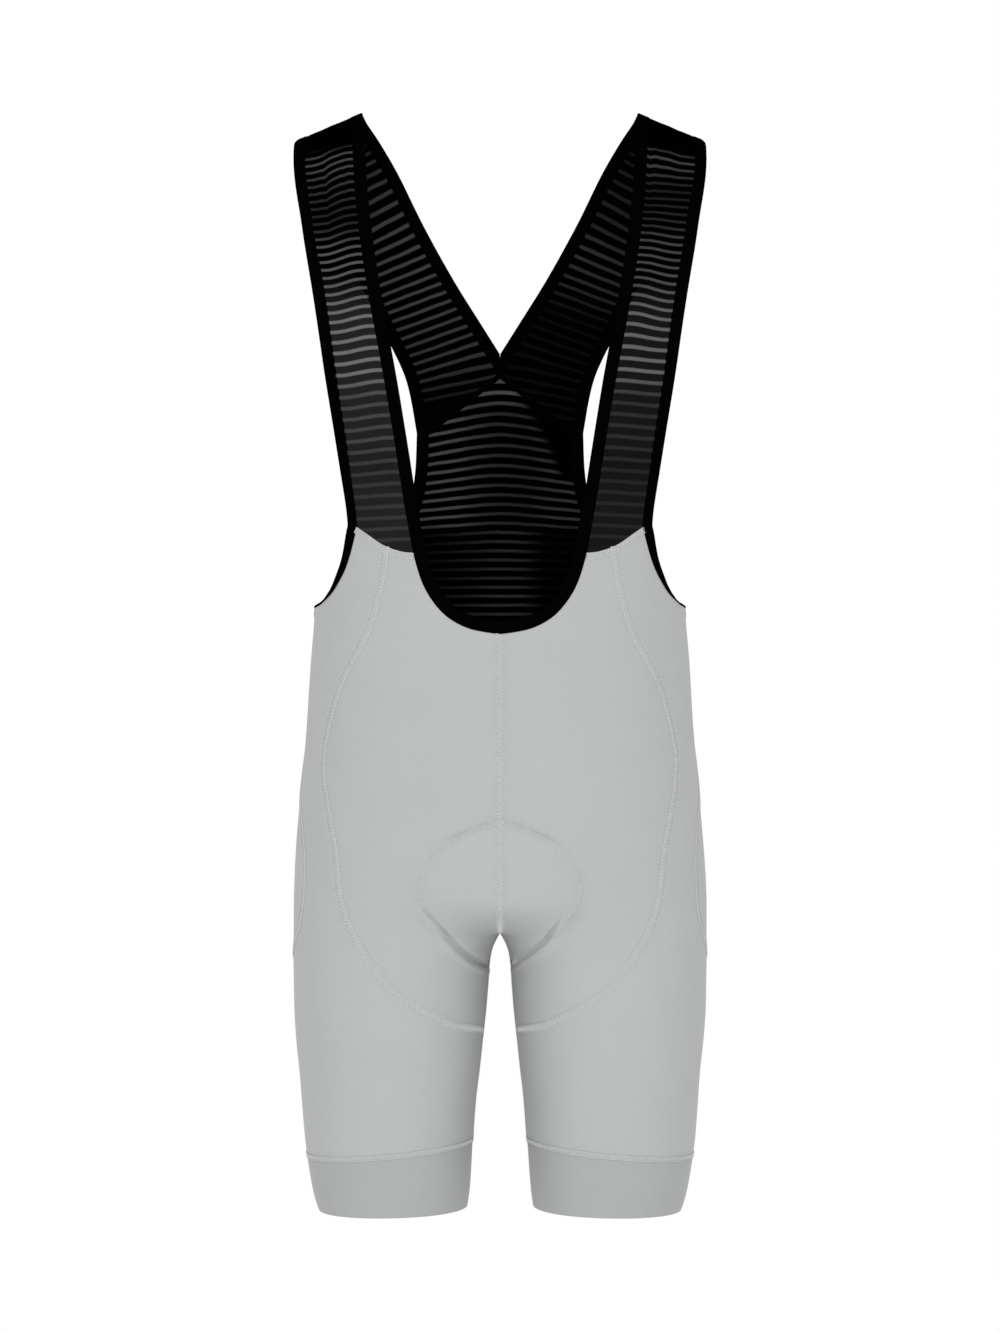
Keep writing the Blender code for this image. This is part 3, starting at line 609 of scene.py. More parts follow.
# Creases as (side, half width, ((x, height, depth), ...)). Side is -1 on the front and +1 on the back
CREASES = (
    (-1, 0.0022, ((-0.0640, -0.6600, 0.0000), (-0.0615, -0.6671, 0.0008), (-0.0496, -0.6814, 0.0026),
                  (-0.0346, -0.6978, 0.0046), (-0.0227, -0.7083, 0.0050), (-0.0130, -0.7140, 0.0044),
                  (-0.0085, -0.7160, 0.0026))),
    (-1, 0.0017, ((0.0560, -0.6640, 0.0000), (0.0490, -0.6754, 0.0012), (0.0420, -0.6850, 0.0026),
                  (0.0370, -0.6918, 0.0038), (0.0251, -0.7017, 0.0044), (0.0150, -0.7095, 0.0042),
                  (0.0085, -0.7160, 0.0028))),
    (-1, 0.0020, ((-0.1480, -0.0350, 0.0), (-0.1471, -0.0504, 0.0014), (-0.1433, -0.0944, 0.0016),
                  (-0.1410, -0.1200, 0.0))),
    (-1, 0.0016, ((-0.1318, -0.0350, 0.0), (-0.1312, -0.0448, 0.0008), (-0.1228, -0.1101, 0.0010),
                  (-0.1200, -0.1350, 0.0))),
    (-1, 0.0018, ((0.1275, -0.0200, 0.0), (0.1269, -0.0309, 0.0014), (0.1197, -0.1389, 0.0014),
                  (0.1180, -0.1600, 0.0))),
    (-1, 0.0018, ((0.1610, -0.0600, 0.0), (0.1587, -0.0755, 0.0010), (0.1490, -0.1450, 0.0010),
                  (0.1470, -0.1600, 0.0))),
)
CREASE_REACH = 8  # half widths within which a crease is felt
RIDGE_AT, RIDGE_SHARE = 2.6, 0.30  # a ridge below each crease: half widths from it, and share of its depth
UNEVENNESS = 0.00016  # height of the slow rise and fall


def distance_to(points, line):
    """Each 2-D point's distance from the line, the line's third value at its nearest place, and if the point
    is above that place."""
    best, value, above = np.full(len(points), 1e9), np.zeros(len(points)), np.zeros(len(points), bool)
    for a, b in zip(line, line[1:]):
        a, b = np.array(a), np.array(b)
        span = b[:2] - a[:2]
        share = np.clip((points - a[:2]) @ span / (span @ span), 0, 1)
        gap = np.linalg.norm(points - a[:2] - share[:, None] * span, axis=1)
        nearer = gap < best
        best[nearer] = gap[nearer]
        value[nearer] = (a[2] + (b[2] - a[2]) * share)[nearer]
        above[nearer] = (points[:, 1] > a[1] + span[1] * share)[nearer]
    return best, value, above


def unevenness(points):
    """A slow, slight rise and fall of worn cloth."""
    x, y, z = points.T
    return (
        np.sin(37 * x + 2.1 * np.sin(19 * z) + 11 * y)
        + np.sin(29 * z - 23 * x + 1.7 * np.sin(31 * y + 1))
        + 0.6 * np.sin(61 * z + 43 * x + 2)
    )


def relief(points):
    out = UNEVENNESS * unevenness(points)
    for side, half_width, line in CREASES:
        gap, depth, above = distance_to(points[:, [0, 2]], line)
        near = (points[:, 1] * side > 0) & (gap < CREASE_REACH * half_width)
        ridge = np.where(above, 0.0, RIDGE_SHARE) * np.exp(-((gap / half_width - RIDGE_AT) ** 2))
        out -= near * depth * (np.exp(-((gap / half_width) ** 2)) - ridge)
    return out


# Building


def mirrored(samples):
    flip = Vector((-1, 1, 1))
    return [(point * flip, normal * flip) for point, normal in samples]


def put(name, vertices, faces, finish, slot, coordinates=None):
    """A piece of the model. Coordinates are a map in metres for each face's corners, in order."""
    mesh = bpy.data.meshes.new(name)
    mesh.from_pydata(np.asarray(vertices).tolist(), [], faces)
    if coordinates is not None:
        layer = mesh.uv_layers.new(name="cloth")
        layer.data.foreach_set("uv", np.asarray(coordinates, dtype=np.float32).ravel())
    mesh.shade_smooth()
    mesh.materials.append(finish)
    thing = bpy.data.objects.new(name, mesh)
    bpy.context.scene.collection.objects.link(thing)
    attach(thing, "root")
    return thing


def flipped(grid, right):
    """The grid, or its mirror image for the right half of the garment."""
    return grid * (np.array((-1, 1, 1)) if right else 1)


def arrays(rows, right=False):
    """Arrays of the rows' points and of their outward normals, for the left half or the right one."""
    return [flipped(np.array([[tuple(pair[k]) for pair in row] for row in rows]), right) for k in (0, 1)]


def line_of(samples, right=False):
    """The samples' points and normals, for the left half or the right one."""
    points, normals = arrays([samples], right)
    return points[0], normals[0]


def unit(vectors):
    return vectors / np.maximum(np.linalg.norm(vectors, axis=-1, keepdims=True), 1e-12)


def finer(grid):
    """The grid with a point added in the middle of each of its steps, both ways."""
    for _ in range(2):
        made = np.empty((2 * len(grid) - 1, *grid.shape[1:]))
        made[::2], made[1::2] = grid, (grid[1:] + grid[:-1]) / 2
        grid = made.swapaxes(0, 1)
    return grid


def raised(points, normals, height=0.0):
    """The points moved out to the cloth's real surface and height metres more."""
    flat = points.reshape(-1, 3)
    out = relief(flat) + np.broadcast_to(height, points.shape[:-1]).ravel()
    return (flat + normals.reshape(-1, 3) * out[:, None]).reshape(points.shape)


def flattened(lists):
    return [value for some in lists for value in some]


MITRE_LIMIT = 0.4  # the least share of a corner's height that its wall is measured by


def shell(name, grids, wall, finish, slot, outside=0.0, strengths=None):
    """A thin closed wall on grids, each as (points, normals, coordinates). Places that coincide are joined.
    The wall is one thickness, or one for each of the grids' points in turn. Strengths, also one for each
    point, take the place of the coordinates' first value on the outer face."""
    flat = np.vstack([points.reshape(-1, 3) for points, _, _ in grids])
    across = np.vstack([normals.reshape(-1, 3) for _, normals, _ in grids])
    spots = np.vstack([coordinates.reshape(-1, 2) for _, _, coordinates in grids])
    top_spots = spots.copy()
    if strengths is not None:
        top_spots[:, 0] = np.ravel(strengths)
    _, first, index = np.unique(np.round(flat, 6), axis=0, return_index=True, return_inverse=True)
    index = index.ravel()
    base, outward, least = flat[first], np.zeros((len(first), 3)), np.ones(len(first))
    np.add.at(outward, index, across)
    outward = unit(outward)
    np.minimum.at(least, index, (outward[index] * across).sum(1))
    outward /= np.maximum(least, MITRE_LIMIT)[:, None]
    count = len(base)
    quads, start = [], 0
    for points, normals, _ in grids:
        rows, columns = points.shape[:2]
        corner = start + np.arange(rows * columns).reshape(rows, columns)
        some = np.stack((corner[:-1, :-1], corner[1:, :-1], corner[1:, 1:], corner[:-1, 1:]), -1)
        some = some.reshape(-1, 4)
        ends = flat[some]
        facing = np.cross(ends[:, 2] - ends[:, 0], ends[:, 3] - ends[:, 1])
        quads += (some[:, ::-1] if (facing * across[some[:, 0]]).sum() < 0 else some).tolist()
        start += rows * columns
    faces, tops = [], []  # each face's corners among the joined places and among the grids' points
    for quad in quads:
        kept = {}
        for k in quad:
            kept.setdefault(int(index[k]), k)
        if len(kept) > 2:
            faces.append(list(kept))
            tops.append(list(kept.values()))
    edges = {(f[k - 1], f[k]): (t[k - 1], t[k]) for f, t in zip(faces, tops) for k in range(len(f))}
    inner = [[count + k for k in reversed(face)] for face in faces]
    unders = [top[::-1] for top in tops]
    for (a, b), (p, q) in edges.items():
        if (b, a) not in edges:
            inner.append([b, a, count + a, count + b])
            unders.append([q, p, p, q])
    depth = np.broadcast_to(wall, len(flat))[first][:, None]
    vertices = base + outward * outside
    vertices = np.vstack((vertices, vertices - outward * depth))
    maps = np.vstack((top_spots[flattened(tops)], spots[flattened(unders)]))
    return put(name, vertices, faces + inner, finish, slot, maps)


def loft(sections, closed):
    """Vertices and faces of a closed skin over these sections, which are loops of points."""
    count, around = sections.shape[:2]
    faces = []
    for i in range(count if closed else count - 1):
        here, there = i * around, (i + 1) % count * around
        for k in range(around):
            m = (k + 1) % around
            faces.append([here + k, there + k, there + m, here + m])
    if not closed:
        faces += [list(range(around)), list(range((count - 1) * around, count * around))[::-1]]
    return sections.reshape(-1, 3), faces


def together(parts):
    """One list of vertices and one of faces out of several."""
    vertices, faces, start = [], [], 0
    for points, some in parts:
        vertices.append(points)
        faces += [[start + k for k in face] for face in some]
        start += len(points)
    return np.vstack(vertices), faces


# Seams


def respaced(points, normals, step, closed=False):
    """The line at even steps of about this length, and the unit vectors along, across and out of it."""
    if closed:
        points, normals = np.vstack((points, points[:1])), np.vstack((normals, normals[:1]))
    run = np.concatenate(([0], np.cumsum(np.linalg.norm(np.diff(points, axis=0), axis=1))))
    keep = np.concatenate(([True], np.diff(run) > 1e-7))
    points, normals, run = points[keep], normals[keep], run[keep]
    count = max(2, round(run[-1] / step))
    at = np.linspace(0, run[-1], count + 1)
    if closed:
        at = at[:-1]
    line = np.stack([np.interp(at, run, points[:, k]) for k in range(3)], -1)
    out = unit(np.stack([np.interp(at, run, normals[:, k]) for k in range(3)], -1))
    if closed:
        tangent = np.roll(line, -1, 0) - np.roll(line, 1, 0)
    else:
        tangent = np.gradient(line, axis=0)
    tangent = unit(tangent)
    return line, tangent, unit(np.cross(out, tangent)), out


def smoothed(values, closed, passes):
    for _ in range(passes):
        before, after = np.roll(values, 1, 0), np.roll(values, -1, 0)
        if not closed:
            before[0], after[-1] = values[0], values[-1]
        values = (before + 2 * values + after) / 4
    return values


def band(line, across, out, profile, closed):
    """A closed strip along a line, with this profile of (offset across, height)."""
    sections = [raised(line + across * offset, out, height) for offset, height in profile]
    return loft(np.stack(sections, 1), closed)


def thread(line, side, out, radius, closed):
    """A tube with four sides, whose section lies along side and out."""
    ring = np.stack((line + side * radius, line + out * radius, line - side * radius, line - out * radius), 1)
    return loft(ring, closed)


def rail(path, offset, height, closed, radius):
    """A needle thread along the seam, in stitches that dip into the cloth."""
    line, _, across, out = respaced(*path, STITCH / 2, closed)
    dip = np.where(np.arange(len(line)) % 2, -DIP, DIP)[:, None] * radius
    return thread(raised(line + across * offset, out, height) + out * dip, across, out, radius, closed)


def zigzag(path, offset, half_width, height, closed, radius):
    """A cover thread that crosses the seam from needle to needle."""
    line, tangent, across, out = respaced(*path, STITCH / 2, closed)
    if closed and len(line) % 2:
        line, tangent, across, out = line[:-1], tangent[:-1], across[:-1], out[:-1]
    turn = np.where(np.arange(len(line)) % 2, 1.0, -1.0)[:, None]
    points = raised(line + across * (offset + turn * half_width), out, height)
    start = slice(None) if closed else slice(-1)
    ends = [np.stack((a, b), 1)[start] for a, b in ((v, np.roll(v, -1, 0)) for v in (points, out))]
    side = (tangent * turn)[start]
    rings = [
        ends[0] + direction * radius
        for direction in (side[:, None], ends[1], -side[:, None], -ends[1])
    ]
    return together([loft(pair, False) for pair in np.stack(rings, 2)])


STITCH = 0.0030
THREAD = 0.00024  # radius
DIP = 0.35  # of a needle thread's radius, between and under its stitches
FLAT_SEAM = (  # the ribbon's profile, as (share of the half width, height in mm)
    (-1.0, -0.15), (-0.92, 0.12), (-0.72, 0.26), (-0.35, 0.20), (0.35, 0.20), (0.72, 0.26), (0.92, 0.12),
    (1.0, -0.15),
)
RIBBON_STEP = 0.0022
COVER_REACH, RAIL_REACH = 0.80, 0.84  # of the half width, to the cover thread's turns and the needle threads
THREADS_UP, RAIL_UP = 0.00034, 0.6  # height of the cover thread, and the needle threads' above it in radii


def seam(name, line, half_width, cloth, slot, thread_finish, shift=0.0, closed=False, rise=1.0):
    """A flat seam: a low ribbon along the line with its needle threads and the cover thread over them."""
    middle, _, across, out = respaced(*line, RIBBON_STEP, closed)
    across = smoothed(across, closed, 4)
    profile = [(shift + x * half_width, z * rise * 1e-3) for x, z in FLAT_SEAM]
    ribbon = put(f"{name}_seam", *band(middle, across, out, profile, closed), cloth, slot)
    top = THREADS_UP * rise
    parts = [zigzag(line, shift, half_width * COVER_REACH, top, closed, THREAD)]
    for sign in (-1, 1):
        offset = shift + half_width * RAIL_REACH * sign
        parts.append(rail(line, offset, top + THREAD * RAIL_UP, closed, THREAD))
    threads = put(f"{name}_threads", *together(parts), thread_finish, slot)
    return [ribbon, threads]


# Finishes


def principled(name, roughness, specular=0.25):
    made = bpy.data.materials.new(name)
    made.use_nodes = True
    shader = made.node_tree.nodes["Principled BSDF"]
    shader.inputs["Roughness"].default_value = roughness
    shader.inputs["Specular IOR Level"].default_value = specular
    return made, shader


def node(material, kind, **settings):
    made = material.node_tree.nodes.new(kind)
    for key, value in settings.items():
        if hasattr(made, key):
            setattr(made, key, value)
        else:
            made.inputs[key].default_value = value
    return made


def link(material, source, target):
    material.node_tree.links.new(source, target)


def math_node(material, operation, a, b=None, c=None):
    made = node(material, "ShaderNodeMath", operation=operation)
    for k, value in enumerate((a, b, c)):
        if value is None:
            continue
        if isinstance(value, (int, float)):
            made.inputs[k].default_value = value
        else:
            link(material, value, made.inputs[k])
    return made.outputs[0]


def plain(name, colour, roughness, specular=0.25, sheen=0.0):
    made, shader = principled(name, roughness, specular)
    shader.inputs["Base Color"].default_value = (*colour, 1)
    if sheen:
        sheened(shader, sheen)
    return made


def noise(material, scale, detail):
    place = node(material, "ShaderNodeTexCoord")
    made = node(material, "ShaderNodeTexNoise", Scale=scale, Detail=detail)
    link(material, place.outputs["Object"], made.inputs["Vector"])
    return made.outputs["Fac"]


def parts_of(material, vector):
    made = node(material, "ShaderNodeSeparateXYZ")
    link(material, vector, made.inputs[0])
    return made.outputs


LOW, HIGH = 6, 7  # a colour mix's inputs


def blend(material, share, low, high):
    """A mix of two colours. Its input LOW and its output 2 are colours too."""
    made = node(material, "ShaderNodeMix", data_type="RGBA")
    link(material, share, made.inputs[0])
    made.inputs[LOW].default_value = (*low, 1)
    made.inputs[HIGH].default_value = (*high, 1)
    return made


def smooth_step(material, value, limits):
    """From one value to another between two limits, given as (low, high, value at low, value at high)."""
    made = node(material, "ShaderNodeMapRange", interpolation_type="SMOOTHSTEP")
    link(material, value, made.inputs["Value"])
    for key, limit in zip(("From Min", "From Max", "To Min", "To Max"), limits):
        made.inputs[key].default_value = limit
    return made.outputs["Result"]


def bumped(material, shader, height, strength, distance):
    made = node(material, "ShaderNodeBump", Strength=strength, Distance=distance)
    link(material, height, made.inputs["Height"])
    link(material, made.outputs["Normal"], shader.inputs["Normal"])


KNIT_SHEEN, SHEEN_ROUGHNESS = 0.12, 0.5
CLOUDS, WOBBLES, MESH_GRAIN = 26.0, 60.0, 1500.0  # scales of the noise
KNIT_BUMP, MESH_BUMP = (0.35, 0.00025), (0.3, 0.0002)  # strength and depth in metres
STRIPE, STRIPE_EDGE = 0.32, 0.07  # a stripe's width and half its soft edge's, in pitches
STRIPE_MIDDLE = 0.58  # of a pitch: half of it, and half of the usual wobble
# The front straps are sheer between these levels: (low, high, share at the low one, share at the high one)
SHEER_TOP, SHEER_FOOT = (-0.172, -0.115, 1.0, 0.0), (-0.318, -0.268, 0.25, 1.0)


def sheened(shader, weight):
    shader.inputs["Sheen Weight"].default_value = weight
    shader.inputs["Sheen Roughness"].default_value = SHEEN_ROUGHNESS


def knit(name, light, dark, rib, grain):
    """A fine knit: columns of stitches down the cloth, with a slight grain."""
    made, shader = principled(name, 0.72, 0.2)
    sheened(shader, KNIT_SHEEN)
    spot = node(made, "ShaderNodeUVMap", uv_map="cloth")
    speckle = noise(made, grain, 2.0)
    share = math_node(made, "MULTIPLY_ADD", speckle, 0.5, -0.25)
    share = math_node(made, "MULTIPLY_ADD", noise(made, CLOUDS, 2.0), 0.6, share)
    link(made, blend(made, share, dark, light).outputs[2], shader.inputs["Base Color"])
    around, down, _ = parts_of(made, spot.outputs["UV"])
    wale = math_node(made, "SINE", math_node(made, "MULTIPLY", around, 2 * math.pi / rib))
    course = math_node(made, "SINE", math_node(made, "MULTIPLY", down, 2 * math.pi / (rib * 0.8)))
    weave = math_node(made, "MULTIPLY", wale, course)
    bumped(made, shader, math_node(made, "MULTIPLY_ADD", weave, 0.25, speckle), *KNIT_BUMP)
    return made


def striped(name, base, stripe, wobbling=0.16, sheer=None):
    """Thin mesh with lighter stripes. The map gives the stripes' strength, with painted light and shade in
    it, and their count along the cloth.
    Sheer mesh is given as the share of the light behind that each face of the wall stops, between the stripes
    and on them, and the colour of its base at the foot, where it is least sheer."""
    made, shader = principled(name, 1.0, 0.0)
    spot = node(made, "ShaderNodeUVMap", uv_map="cloth")
    shown_share, count, _ = parts_of(made, spot.outputs["UV"])
    moved = math_node(made, "MULTIPLY_ADD", noise(made, WOBBLES, 2.0), wobbling, count)
    turn = math_node(made, "FRACT", moved)
    gap = math_node(made, "ABSOLUTE", math_node(made, "SUBTRACT", turn, STRIPE_MIDDLE))
    inside = smooth_step(made, gap, (STRIPE / 2 - STRIPE_EDGE, STRIPE / 2 + STRIPE_EDGE, 1.0, 0.0))
    strength = math_node(made, "MULTIPLY", inside, shown_share)
    grain = noise(made, MESH_GRAIN, 1.0)
    speckled = math_node(made, "MULTIPLY", strength, math_node(made, "MULTIPLY_ADD", grain, 0.6, 0.7))
    tint = blend(made, speckled, base, stripe)
    link(made, tint.outputs[2], shader.inputs["Base Color"])
    if sheer:
        cover, stripe_cover, foot_base = sheer
        place = node(made, "ShaderNodeTexCoord")
        height = parts_of(made, place.outputs["Object"])[2]
        below_top, above_foot = (smooth_step(made, height, limits) for limits in (SHEER_TOP, SHEER_FOOT))
        link(made, blend(made, above_foot, foot_base, base).outputs[2], tint.inputs[LOW])
        passed = math_node(made, "MULTIPLY_ADD", strength, cover - stripe_cover, 1 - cover)
        passed = math_node(made, "MULTIPLY", passed, math_node(made, "MULTIPLY", below_top, above_foot))
        link(made, math_node(made, "SUBTRACT", 1.0, passed), shader.inputs["Alpha"])
    bumped(made, shader, grain, *MESH_BUMP)
    return made


GREY = knit("front_knit", (0.372, 0.381, 0.377), (0.340, 0.349, 0.345), 0.0011, 1300.0)
CUFF = knit("cuff_knit", (0.329, 0.337, 0.333), (0.296, 0.303, 0.300), 0.0016, 900.0)
BLACK = plain("binding_knit", (0.0007, 0.0007, 0.0007), 1.0, 0.0)
PALE_THREAD = plain("pale_thread", (0.55, 0.56, 0.555), 0.7, 0.2)
PAD_THREAD = plain("pad_thread", (0.53, 0.54, 0.535), 0.7, 0.2)
DARK_THREAD = plain("dark_thread", (0.0015, 0.0015, 0.0015), 1.0, 0.0)
FOAM = plain("pad_foam", (0.05, 0.05, 0.052), 0.9, 0.1, 0.2)
MESH_BASE = (0.0003, 0.0003, 0.0004)
FRONT_WOBBLE = 0.06
# The right front strap's stripes and foot base are painted lighter: painted light on the side at -x
LEFT_SHEER, RIGHT_SHEER = (0.91, 0.76, (0.0085, 0.0085, 0.009)), (0.875, 0.71, (0.015, 0.015, 0.016))
FRONT_MESH = {  # by whether it is the right strap's, which is a little lighter
    False: striped("front_mesh_left", MESH_BASE, (0.060, 0.060, 0.062), FRONT_WOBBLE, LEFT_SHEER),
    True: striped("front_mesh_right", MESH_BASE, (0.064, 0.064, 0.066), FRONT_WOBBLE, RIGHT_SHEER),
}
STRAP_MESH = striped("back_strap_mesh", (0.0004, 0.0004, 0.0005), (0.058, 0.058, 0.060))
BACK_MESH = striped("back_mesh", MESH_BASE, (0.052, 0.052, 0.053))

# The figure's samples, for the left half

lines = seams()
front_places, seat_places = front_panel(lines), seat_panel(lines)
side_places = side_panel(lines, front_places, seat_places)
back_places = back_mesh(seat_places, side_places)
front, seat, side = (on_figure(places) for places in (front_places, seat_places, side_places))
back = on_figure(back_places)

CUFF_STEPS = (0.0, 0.0007, 0.0014, 0.0024, 0.0040)  # rows close together at the top, for the groove there
cuff_stations = [station_of(CUFF_SEAM) - step for step in CUFF_STEPS]
cuff_stations += evenly(cuff_stations[-1], station_of(HEM), ROWS_CUFF)[1:] + [station_of(HEM)]
cuff_rows = on_figure([[(around, v) for around, _ in side_places[-1][:-1]] for v in cuff_stations])

end = strap_end(front_places, side_places)
strap_shares = [(x - end[0][0]) / (end[-1][0] - end[0][0]) for x, _ in end]
even_shares = [k / (len(end) - 1) for k in range(len(end))]
front_strap = strap(FRONT_STRAP, -1, ROWS_FRONT_STRAP, strap_shares, end)
back_strap = strap(BACK_STRAP, 1, ROWS_BACK_STRAP, even_shares)

# Maps of the cloth, in metres

GIRTH = 0.62  # once round the torso's half, and once round a thigh

# Stripes: the front straps' and the back mesh's pitches by level, and the back strap's count by reach
FRONT_PITCHES = (
    (-0.36, 0.0092), (-0.24, 0.0092), (-0.20, 0.0091), (-0.18, 0.0083), (-0.16, 0.0075), (-0.14, 0.0069),
    (-0.125, 0.0064), (-0.03, 0.0066), (-0.01, 0.0058), (0.04, 0.0055),
)
MESH_PITCHES = (
    (-0.49, 0.0079), (-0.42, 0.0079), (-0.38, 0.0080), (-0.34, 0.0083), (-0.30, 0.0086), (-0.28, 0.0090),
    (-0.235, 0.0095), (-0.19, 0.0102),
)
BACK_COUNTS = (
    (0.000, -5), (0.058, 0), (0.0693, 1), (0.081, 2), (0.093, 3), (0.1174, 5), (0.1546, 8), (0.1786, 10),
    (0.209, 13), (0.2361, 16), (0.2636, 19), (0.2814, 21), (0.2989, 23), (0.334, 27), (0.404, 35),
)

# How much the stripes slant: the back straps' by reach, and the mesh back's to both sides by level
BACK_TILTS = (
    (0.155, 0.12), (0.168, 0.06), (0.18, 0.03), (0.20, 0.0), (0.22, -0.035), (0.28, -0.05), (0.30, -0.13),
    (0.314, -0.20),
)
BACK_MIDDLE_X = 0.07  # where a back strap's stripe has its own reach
MESH_TILTS = (
    (-0.42, 0.0), (-0.37, 0.02), (-0.34, 0.085), (-0.32, 0.13), (-0.29, 0.175), (-0.25, 0.235), (-0.21, 0.30),
)
MESH_BEND = 0.02  # half width of the soft bend at the centre

# How far a front strap's stripes rise from its outer to its inner edge, by level, and where one stripe lies
FRONT_RISES = {
    False: ((-0.33, 0.001), (-0.20, 0.002), (-0.168, 0.005), (-0.141, 0.0055), (-0.118, 0.004),
            (-0.094, 0.003), (-0.069, 0.0), (-0.05, 0.001), (-0.03, 0.0054)),
    True: ((-0.33, 0.001), (-0.26, 0.003), (-0.20, 0.004), (-0.13, 0.006), (-0.08, 0.0075), (-0.045, 0.0112),
           (-0.02, 0.010)),
}
FRONT_STRIPE = {False: -0.2060, True: -0.2086}
MESH_STRIPE = -0.2908

# How strongly the stripes show, their own strength with painted light and shade on it: by level on the front
# straps, by reach on the back straps, and by x on the mesh back, whose side at -x catches the light. The
# right straps' tones are higher, as painted light on the side at -x
FRONT_TONES = {
    False: ((-0.30, 0.14), (-0.235, 0.20), (-0.215, 1.0), (-0.165, 0.95), (-0.13, 0.70), (-0.105, 0.60),
            (-0.094, 0.24), (-0.074, 0.16), (-0.058, 0.15), (-0.038, 0.60)),
    True: ((-0.30, 0.28), (-0.235, 0.34), (-0.215, 1.0), (-0.125, 1.0), (-0.112, 0.85), (-0.100, 0.30),
           (-0.085, 0.16), (-0.059, 0.30), (-0.036, 0.70)),
}
# The back straps' inner face seen from the front, in painted shade, darkest on the left strap
BACK_TONES = {
    False: ((0.05, 0.0), (0.075, 0.12), (0.12, 0.19), (0.15, 0.22), (0.18, 0.37), (0.21, 0.28), (0.24, 0.04)),
    True: ((0.05, 0.0), (0.075, 0.40), (0.12, 0.55), (0.15, 0.70), (0.22, 0.66), (0.26, 0.50), (0.29, 0.42),
           (0.31, 0.20), (0.325, 0.0)),
}
# The back straps' outer face, without the inner face's painted shade
BACK_OUTER_TONES = ((0.05, 0.0), (0.075, 0.45), (0.10, 0.85), (0.32, 0.75))
MESH_TONES = (
    (-0.050, 1.0), (-0.038, 0.90), (-0.025, 0.55), (-0.008, 0.33), (0.0, 0.31), (0.010, 0.28), (0.025, 0.26),
    (0.045, 0.45), (0.060, 0.55),
)
# Painted shade towards the waist: the mesh back's weaker stripes there, by x
MESH_SHADED_TONES = ((-0.060, 0.07), (-0.030, 0.17), (0.0, 0.34), (0.020, 0.28), (0.030, 0.12), (0.040, 0.02))
MESH_WAIST_TONES = ((-0.410, 1.7), (-0.395, 1.5), (-0.385, 1.0))  # by level, below the shadow
# The mesh back's outer face, without the inner face's painted light and shade
MESH_OUTER_TONE = 0.7

# Shadows on the mesh back: its x beside the yoke, by level, and how softly it starts
MESH_SHADE = ((-0.310, 0.090), (-0.291, 0.056), (-0.254, 0.040), (-0.213, 0.017))
SHADE_BEFORE, SHADE_SOFT = 0.008, 0.010
# Painted light near the mesh back's top, above the yoke level, and painted shade below the waist level
YOKE_LEVEL, YOKE_SOFT = -0.232, 0.012  # above which every stripe is at its strongest
WAIST_LEVEL, WAIST_SOFT = -0.333, 0.010  # below which they have the low tones

# Painted shade on the doubled cloth at a front strap's top, where no stripes show: its level at the centre,
# its fall outwards and its soft edge
TOP_SHADE_LEVEL, TOP_SHADE_FALL, TOP_SHADE_SOFT = -0.006, 0.18, 0.008
FLAT_ENDS = 0.1  # of a front strap's width on each side, where its stripes run level


def table_at(values, table):
    return np.interp(values, *zip(*table))


def counted(values, pitches, start):
    """How many stripes there are from start, on the middle of a stripe, to these levels."""
    levels = np.linspace(pitches[0][0], pitches[-1][0], 800)
    steps = np.diff(levels) / table_at((levels[1:] + levels[:-1]) / 2, pitches)
    run = np.concatenate(([0], np.cumsum(steps)))
    return np.interp(values, levels, run) - np.interp(start, levels, run) + 0.5


def soft(share):
    share = np.clip(share, 0, 1)
    return share * share * (3 - 2 * share)


def front_stripes(points, shares, right):
    x, z = points[..., 0], points[..., 2]
    inwards = soft((np.array(shares)[None, :] - FLAT_ENDS) / (1 - 2 * FLAT_ENDS))
    level_at = z - table_at(z, FRONT_RISES[right]) * inwards
    # painted shade at the strap's top: no stripes there
    shaded_top = soft((z + TOP_SHADE_FALL * x - TOP_SHADE_LEVEL) / TOP_SHADE_SOFT)
    strength = table_at(z, FRONT_TONES[right]) * (1 - shaded_top)
    return np.stack((strength, counted(level_at, FRONT_PITCHES, FRONT_STRIPE[right])), -1)


def back_stripes(points, reach, right):
    """The stripes' map as the photo shows them from the front, with painted shade on this inner face, and
    their strength seen from behind.
    """
    x = points[..., 0]
    run = reach - table_at(reach, BACK_TILTS) * (x - BACK_MIDDLE_X)
    spots = np.stack((table_at(run, BACK_TONES[right]), table_at(run, BACK_COUNTS) + 0.5), -1)
    return spots, table_at(run, BACK_OUTER_TONES)


def mesh_stripes(points):
    """The stripes' map as the photo shows them inside the neckline, with painted light on them at the top and
    to -x, and painted shadows beside the yoke and towards the waist.
    """
    x, z = points[..., 0], points[..., 2]
    level_at = z + table_at(z, MESH_TILTS) * (np.hypot(x, MESH_BEND) - MESH_BEND)
    high = table_at(x, MESH_TONES)
    high = high + (1 - high) * soft((z - YOKE_LEVEL) / YOKE_SOFT)
    high = high * (1 - soft((x - table_at(z, MESH_SHADE) + SHADE_BEFORE) / SHADE_SOFT))
    low = table_at(x, MESH_SHADED_TONES) * table_at(z, MESH_WAIST_TONES)
    strength = high + (low - high) * soft((WAIST_LEVEL - z) / WAIST_SOFT)
    return np.stack((strength, counted(level_at, MESH_PITCHES, MESH_STRIPE)), -1)


def cloth_map(places):
    return np.array([[(around * GIRTH, station) for around, station in row] for row in places])


